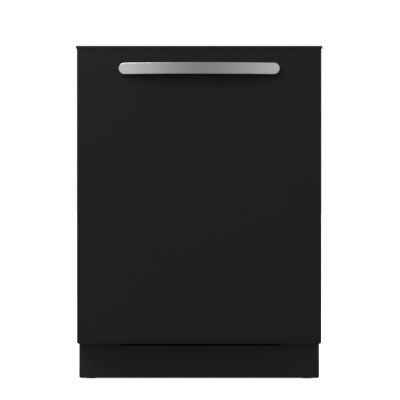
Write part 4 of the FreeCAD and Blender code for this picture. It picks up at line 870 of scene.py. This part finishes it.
def blanket():
    """Quilted blanket: one piece over the sides and top, one on the rear."""
    half, top, bottom, front, rear = 0.2834, 0.8004, 0.152, -0.226, 0.2964
    soft = 0.014
    side = top - soft - bottom
    arc = pi / 2 * soft
    across = 2 * (half - soft)
    total = 2 * side + 2 * arc + across
    nu, nv = 128, 40

    def wrap(i, j):
        s = total * i / nu
        y = front + (rear + 0.006 - front) * j / nv
        if s < side:
            return Vector((-half, y, bottom + s)), Vector((-1, 0, 0))
        s -= side
        if s < arc:
            a = s / soft
            way = Vector((-cos(a), 0, sin(a)))
            return Vector((-half + soft, y, top - soft)) + way * soft, way
        s -= arc
        if s < across:
            return Vector((-half + soft + s, y, top)), Vector((0, 0, 1))
        s -= across
        if s < arc:
            a = s / soft
            way = Vector((sin(a), 0, cos(a)))
            return Vector((half - soft, y, top - soft)) + way * soft, way
        s -= arc
        return Vector((half, y, top - soft - s)), Vector((1, 0, 0))

    def at_air_break(i, j):
        point = wrap(i + 0.5, j + 0.5)[0]
        return point.x < -half + 0.001 and abs(point.y) < 0.078 and point.z < 0.538

    def back(i, j):
        return Vector((0.281 - 0.562 * i / 40, rear, 0.153 + 0.6455 * j / 48)), Vector((0, 1, 0))

    look = {"cell": (8, 8), "gap": 0.0014, "puff": 0.0082, "simulate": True}
    quilt("blanket_wrap", "insulation_blanket", (nu, nv), wrap, skip=at_air_break, **look)
    quilt("blanket_rear", "insulation_blanket", (40, 48), back, **look)


def sound_pad():
    """Quilted felt pad between the door's skin and its liner."""
    def face(i, j):
        return Vector((-0.277 + 0.554 * i / 48, -0.2765, 0.131 + 0.624 * j / 56)), Vector((0, -1, 0))

    quilt("sound_pad_quilted", "door_sound_pad", (48, 56), face, (16, 14), 0.006, 0.0095,
          simulate=False, fill=0.8)


# ---- Small parts ----
FILTER_X, FILTER_Y = 38.0, PUMP_Y


def filter_cup():
    """Twist-out cup filter: ribbed cage, mesh drum and grip."""
    x, y = FILTER_X, FILTER_Y
    profiles = ([(20.2, 107), (20.8, 107), (20.8, 143), (20.2, 143), (20.2, 107)],
                [(0, 106), (21.4, 106), (22, 106.6), (22, 110), (21.2, 111), (0, 111)],
                [(0, 141), (21.4, 141), (22, 142), (22, 147), (21, 148), (18, 147.4), (0, 146.6)])
    parts = [lathe(profile, (x, y, 0), "Z", 48) for profile in profiles]
    parts += [placed(box((20.2, -1.0, 108), (21.9, 1.0, 144), 0.4, 2), pi / 4 * k, "Z", (x, y, 0))
              for k in range(8)]
    parts.append(box((x - 15, y - 2.5, 146), (x + 15, y + 2.5, 154), 1.6, 4))
    made("filter_cup", join(*parts), "filter_cylinder")


def filter_disc():
    """Fine filter: a rolled rim and a shallow dished plate with two rimmed holes."""
    plate = welded("filter_plate")
    bmesh.ops.scale(plate, vec=(1 / MM, 1 / MM, 1 / MM), verts=plate.verts[:])
    low, high = 135.8, 137.2
    outer = [(93.4, low), (93, 137.6), (94.5, 138.5), (96, 137.8), (96, 136), (93.4, low)]
    cup_hole = [(22.5, low), (22.6, high), (24.6, high), (25.4, low), (22.5, low)]
    arm_hole = [(11.4, low), (11.6, high), (13.4, high), (14.2, low), (11.4, low)]
    rims = [lathe(outer, (0, FILTER_Y, 0), "Z", 96), lathe(cup_hole, (FILTER_X, FILTER_Y, 0), "Z", 48),
            lathe(arm_hole, (0, FILTER_Y, 0), "Z", 40)]
    made("filter_disc", join(plate, *rims), "filter_plate", FINISH["filter_mesh"])


def liner_ribs():
    """Pressed ribs on the door's inner pan, below and above the dispenser."""
    ribs = [prism(rounded_outline(rectangle(-225, 225, z - 8, z + 8), 7.9), -236.6, -234.6, "Y", 1.3, 4)
            for z in (205, 245, 285, 325, 560, 600, 640)]
    made("liner_ribs", join(*ribs), (), FINISH["tub_steel"], "tub_steel", "door")


def toe_shade_strip():
    """Near-black strip behind the air way along the toe panel's top edge: painted shade for the dark gap
    under the door.
    """
    bm = box((-0.2155, -0.2216, 0.070), (0.2155, -0.2186, 0.0955), 0.0006, 2)
    return piece("toe_shade_strip", bm, FINISH["painted_shade_black"], body=BODY_OF["base_frame"])


def fill_valve():
    """Solenoid valve: moulded body, wound coil, bracket and threaded inlet."""
    x, y, z = -238.0, -100.0, 62.0
    inlet = [(9, 16), (12.4, 16), (12.4, 19)]
    at = 19.0
    while at < 34:
        inlet += [(12.4, at), (13.2, at + 0.8), (13.2, at + 1.1)]
        at += 1.8
    inlet += [(12.2, 35.4), (11.6, 36), (9, 36), (9, 16)]
    coil = [(0, 14), (8, 14), (11, 15), (11, 18), (10, 18.6), (10, 33.4), (11, 34), (11, 37), (10, 38),
            (4, 38), (3.4, 37), (0, 37)]
    outlet = [(0, 15), (6.4, 15), (6, 17), (5, 17.4), (5, 19), (6, 19.6), (4.8, 24), (0, 24)]
    parts = [box((x - 15, y - 18, z - 17), (x + 15, y + 18, z + 17), 3, 5),
             box((x - 15, y - 18.6, z - 3), (x + 15.0, y + 18.6, z + 3), 0.8, 2),
             lathe(coil, (x, y, z), "X"), lathe(outlet, (x, y, z), "Z", 28), lathe(inlet, (x, y, z), "Y", 40)]
    parts += [box((x + 20, y + k * 5 - 2.4, z - 17), (x + 29, y + k * 5 - 1.6, z - 9), 0.2, 1)
              for k in (-1, 1)]
    made("fill_valve", join(*parts), "inlet_valve")


def glides():
    """Upper rack's glide blocks and the pipe that feeds its spray arm."""
    roller = [(0, 252.8), (8.6, 252.8), (9.6, 253.8), (9.6, 264.6), (8.8, 265.5), (4.6, 265.5), (4.2, 264.8),
              (0, 264.8)]
    parts = []
    for y in (40.0, 180.0):
        for at in (y + 9.5, y + 30.5):
            parts.append(both_sides(lathe(roller, (0, at, 532), "X")))
        parts.append(both_sides(box((252.7, y + 3, 527), (258, y + 37, 537), 1.5, 3)))
    pipe_z, arm_y = 463, 20
    route = [(0, 256.6, pipe_z), (0, arm_y, pipe_z), (0, arm_y, 455.4)]
    pipe = sweep(bent(route, 7.4, 10), 7, 28, domed=False)
    mouth = [(7, 250), (8.6, 250.4), (8.6, 256), (7.6, 256.6), (7, 256.6), (7, 250)]
    spindle = [(0, 434), (8.2, 434), (9, 434.8), (9, 438.6), (8.2, 439.4), (6, 439.4), (6, 455.6), (7.4, 456),
               (7.4, pipe_z), (0, pipe_z)]
    parts += [pipe, lathe(mouth, (0, 0, pipe_z), "Y", 32), lathe(spindle, (0, arm_y, 0))]
    for x in (-50, 50):
        parts.append(box((x - 3, 18, pipe_z), (x + 3, 22, 474), 0.8, 2))
    parts.append(box((-53, 17, 460), (53, 23, 464.5), 1.2, 3))
    made("rack_glides_and_pipe", join(*parts), "upper_rack_fittings")


def impeller_shape(node, x0, x1, radius, shaft_end, vanes):
    """Backward-curved vanes on a disc, with hub and shaft."""
    y, z = PUMP_Y, PUMP_Z
    way, depth = span(x0, x1)
    hub = [(0, depth), (6.6, depth), (8, depth - 1.4), (8, 2.4), (10, 2), (radius, 2), (radius, 0.3),
           (radius - 0.4, 0), (4, 0), (0, 0)]
    reach = shaft_end - x0
    shaft = [(0, 0), (4, 0), (4, reach - 0.6 * (1 if reach > 0 else -1)), (3.4, reach), (0, reach)]
    parts = [lathe([(r, d * way) for r, d in hub], (x0, y, z), "X", 40), lathe(shaft, (x0, y, z), "X", 24)]
    for k in range(vanes):
        sides = ([], [])
        for t in (step / 8 for step in range(9)):
            r = 7.2 + (radius - 7.9) * t
            a = 2 * pi * k / vanes + 0.75 * t
            for line, shift in zip(sides, (-0.9, 0.9)):
                line.append((y + r * cos(a) - shift * sin(a),
                             z + r * sin(a) + shift * cos(a)))
        lo, hi = sorted((x0 + 0.5 * way, x1))
        parts.append(prism(sides[0] + sides[1][::-1], lo, hi, "X", 0.3, 1))
    made(node + "_vanes", join(*parts), node)


# ---- Stage, light and camera ----
FLOOR_GLOW = 0.72                         # the camera sees a plain bright floor
FLOOR_BOUNCE = (0.27, 0.27, 0.273, 1)     # what the machine sees of it
# How bright a direction is, by how far it points aside. The ramp's own two stops come first.
SIDE_RAMP = ((0.06, (0.293, 0.293, 0.297, 1)), (0.5, (1.0, 1.0, 1.0, 1)),
             (0.17, (0.39, 0.39, 0.39, 1)), (0.3, (0.83, 0.83, 0.83, 1)))
BACKDROP = (1.05, 1.05, 1.05, 1)
LAMPS = (("key", (-1.3, -1.6, 2.1), 1.2, 39.0),        # name, place, size in m, power in W
         ("fill", (2.2, -1.6, 1.6), 1.6, 7.5),
         ("rear", (0.6, 2.2, 1.9), 1.8, 34.0))
LAMP_TARGET = Vector((0.0, 0.0, 0.42))


def white_floor():
    """A floor that is plain white to the camera and dimmer to everything else."""
    bm = bmesh.new()
    bmesh.ops.create_grid(bm, x_segments=8, y_segments=8, size=60.0)
    mesh = as_mesh("floor", bm)
    floor = in_scene("floor", mesh)
    floor.location.z = -0.0004
    pale = finish("pale_floor", (0.9, 0.9, 0.9), 0.9, drift=0.004, patch=0.5, grain=200.0, bump=0.0,
                  specular=0.0)
    nodes, links = pale.node_tree.nodes, pale.node_tree.links
    shader = nodes["Principled BSDF"]
    shader.inputs["Emission Color"].default_value = (1, 1, 1, 1)
    shader.inputs["Emission Strength"].default_value = FLOOR_GLOW
    dim = nodes.new("ShaderNodeBsdfDiffuse")
    dim.inputs["Color"].default_value = FLOOR_BOUNCE
    swap = nodes.new("ShaderNodeMixShader")
    links.new(nodes.new("ShaderNodeLightPath").outputs["Is Camera Ray"], swap.inputs["Fac"])
    links.new(dim.outputs["BSDF"], swap.inputs[1])
    links.new(shader.outputs["BSDF"], swap.inputs[2])
    links.new(swap.outputs["Shader"], nodes["Material Output"].inputs["Surface"])
    mesh.materials.append(pale)


def studio_world():
    """Bright at the sides, dim ahead and behind; the camera sees a white backdrop."""
    world = bpy.data.worlds.new("studio")
    bpy.context.scene.world = world
    world.use_nodes = True
    nodes, links = world.node_tree.nodes, world.node_tree.links
    split = nodes.new("ShaderNodeSeparateXYZ")
    links.new(nodes.new("ShaderNodeTexCoord").outputs["Generated"], split.inputs["Vector"])
    aside = nodes.new("ShaderNodeMath")
    aside.operation = "ABSOLUTE"
    links.new(split.outputs["X"], aside.inputs[0])
    ramp = nodes.new("ShaderNodeValToRGB")
    stops = ramp.color_ramp.elements
    for index, (at, colour) in enumerate(SIDE_RAMP[:2]):
        stops[index].position, stops[index].color = at, colour
    for at, colour in SIDE_RAMP[2:]:
        stops.new(at).color = colour
    links.new(aside.outputs[0], ramp.inputs["Fac"])
    mix = nodes.new("ShaderNodeMix")
    mix.data_type = "RGBA"
    links.new(nodes.new("ShaderNodeLightPath").outputs["Is Camera Ray"], mix.inputs["Factor"])
    links.new(ramp.outputs["Color"], mix.inputs[6])
    mix.inputs[7].default_value = BACKDROP
    links.new(mix.outputs[2], nodes["Background"].inputs["Color"])


def lamps():
    for name, place, size, power in LAMPS:
        lamp = bpy.data.lights.new(name, "AREA")
        lamp.size = size
        lamp.energy = power
        light = in_scene(name, lamp)
        light.location = place
        light.rotation_euler = (LAMP_TARGET - light.location).to_track_quat("-Z", "Y").to_euler()
        light.visible_camera = False


def photo_camera():
    """Straight at the front, level, from 4.5 m."""
    data = bpy.data.cameras.new("camera")
    data.lens = 164.85
    camera = in_scene("camera", data)
    camera.location = (0.0021, -4.795, 0.4461)
    camera.rotation_euler = (radians(90), 0, 0)
    bpy.context.scene.camera = camera
    bpy.context.scene.view_settings.view_transform = "Standard"


# ---- Front of the machine ----
HANDLE_BOW = 570.5 * MM                   # y of the bow's axis
HANDLE_RADIUS = 897.5 * MM                # outer face
HANDLE_Z = 768.4 * MM
HANDLE_HALF = 197.5 * MM
HANDLE_RISE = 14.25 * MM
HANDLE_THICK = 9.0 * MM
POST_X = 178.0 * MM
DOOR_FACE = -295.0 * MM


def handle():
    """Bowed bar with round ends and a soft front edge, on two posts."""
    straight = HANDLE_HALF - HANDLE_RISE

    def pill(inset):
        rise = max(HANDLE_RISE - inset, 0.0)
        stations = [straight * (2 * k / 90 - 1) for k in range(91)]
        arc = [pi * k / 24 for k in range(1, 24)]
        points = [(x, rise) for x in stations]
        points += [(straight + rise * sin(a), rise * cos(a)) for a in arc]
        points += [(x, -rise) for x in reversed(stations)]
        points += [(-straight - rise * sin(a), -rise * cos(a)) for a in arc]
        return points

    soft, small = 1.5 * MM, 0.8 * MM
    profile = [(HANDLE_RISE, 0.0), (11.4 * MM, 0.0), (8.6 * MM, 0.0), (5.8 * MM, 0.0)]
    profile += [(soft * (1 - sin(a)), soft * (1 - cos(a)))
                for a in (pi / 2 * k / 8 for k in range(9))]
    profile += [(small * (1 - cos(a)), HANDLE_THICK - small * (1 - sin(a)))
                for a in (pi / 2 * k / 4 for k in range(5))]
    profile += [(5.8 * MM, HANDLE_THICK), (10.0 * MM, HANDLE_THICK), (HANDLE_RISE, HANDLE_THICK)]
    bm = bmesh.new()
    rings = []
    for inset, depth in profile:
        bow = HANDLE_RADIUS - depth
        rings.append([bm.verts.new((x, HANDLE_BOW - sqrt(bow * bow - x * x), HANDLE_Z + z))
                      for x, z in pill(inset)])
    skin(bm, rings)
    bmesh.ops.remove_doubles(bm, verts=bm.verts[:], dist=1e-6)
    bow = HANDLE_RADIUS - HANDLE_THICK
    reach = DOOR_FACE - (HANDLE_BOW - sqrt(bow * bow - POST_X * POST_X))
    tip = -(reach / MM) - 1.0
    post = [(0, 0), (9.5, 0), (9.5, -0.8), (8.6, -1.8), (8.2, -3.0), (8.2, tip), (0, tip)]
    for x in (-POST_X, POST_X):
        lathe([(r * MM, d * MM) for r, d in post], (x, DOOR_FACE, HANDLE_Z), "Y", 40, bm)
    return piece("handle_bar", bm, FINISH["handle_silver"], "door_handle", sharp=50)


handle()
lower_rack()
rack_wheels("lower_wheels_front", -180)
rack_wheels("lower_wheels_rear", 180)
folding_row()
made("upper_rack_wires", rack_wires(UPPER), "upper_rack")
cup_shelf()
cutlery_basket()
for node, reach, centre_y, low in (("lower_spray_arm", 235, 30, 158), ("upper_spray_arm", 232, 20, 440),
                                   ("top_spray_arm", 120, 20, 760)):
    arm_shape(node, reach, centre_y, low)
heating_element()
drain_line()
inlet_hose()
springs()
gasket()
front_frame()
tub()
for side, x in (("right", 270), ("left", -270)):
    for end, y in (("front", -198), ("rear", 268)):
        leg("leg_" + side + "_" + end, x, y)
motor("wash_motor_body", "wash_motor", 118.2, 205, 38)
made("wash_pump_volute", volute(84, 118, 40, 15, 30), "wash_pump_housing")
motor("drain_pump_body", "drain_pump", -112.2, -165, 19, [volute(-84, -112, 24, 12, -30)])
filter_cup()
filter_disc()
liner_ribs()
# painted shade: a near-black strip in the gap under the door
toe_shade_strip()
fill_valve()
glides()
impeller_shape("wash_impeller", 100, 112, 34, 117.7, 6)
impeller_shape("drain_impeller", -98, -106, 19, -111.7, 4)
blanket()
sound_pad()
refined("door_panel")
# the kick plate takes the enamel painted lighter, as painted light against the shade under the door
refined("kick_plate", FINISH["toe_enamel_painted_light"])
for node in ("base_frame", "mounting_brackets", "latch_striker", "junction_box", "hinge_arms", "upper_rails",
             "console", "door_liner", "dispenser_body", "latch_housing", "latch_hook", "button_power",
             "button_cycle", "button_start", "sump", "air_break", "dispenser_lid", "rinse_aid_cap",
             "tub_floor", "control_board", "handle_screws", "kick_plate_screws", "tub_rollers"):
    refined(node)
white_floor()
studio_world()
lamps()
photo_camera()
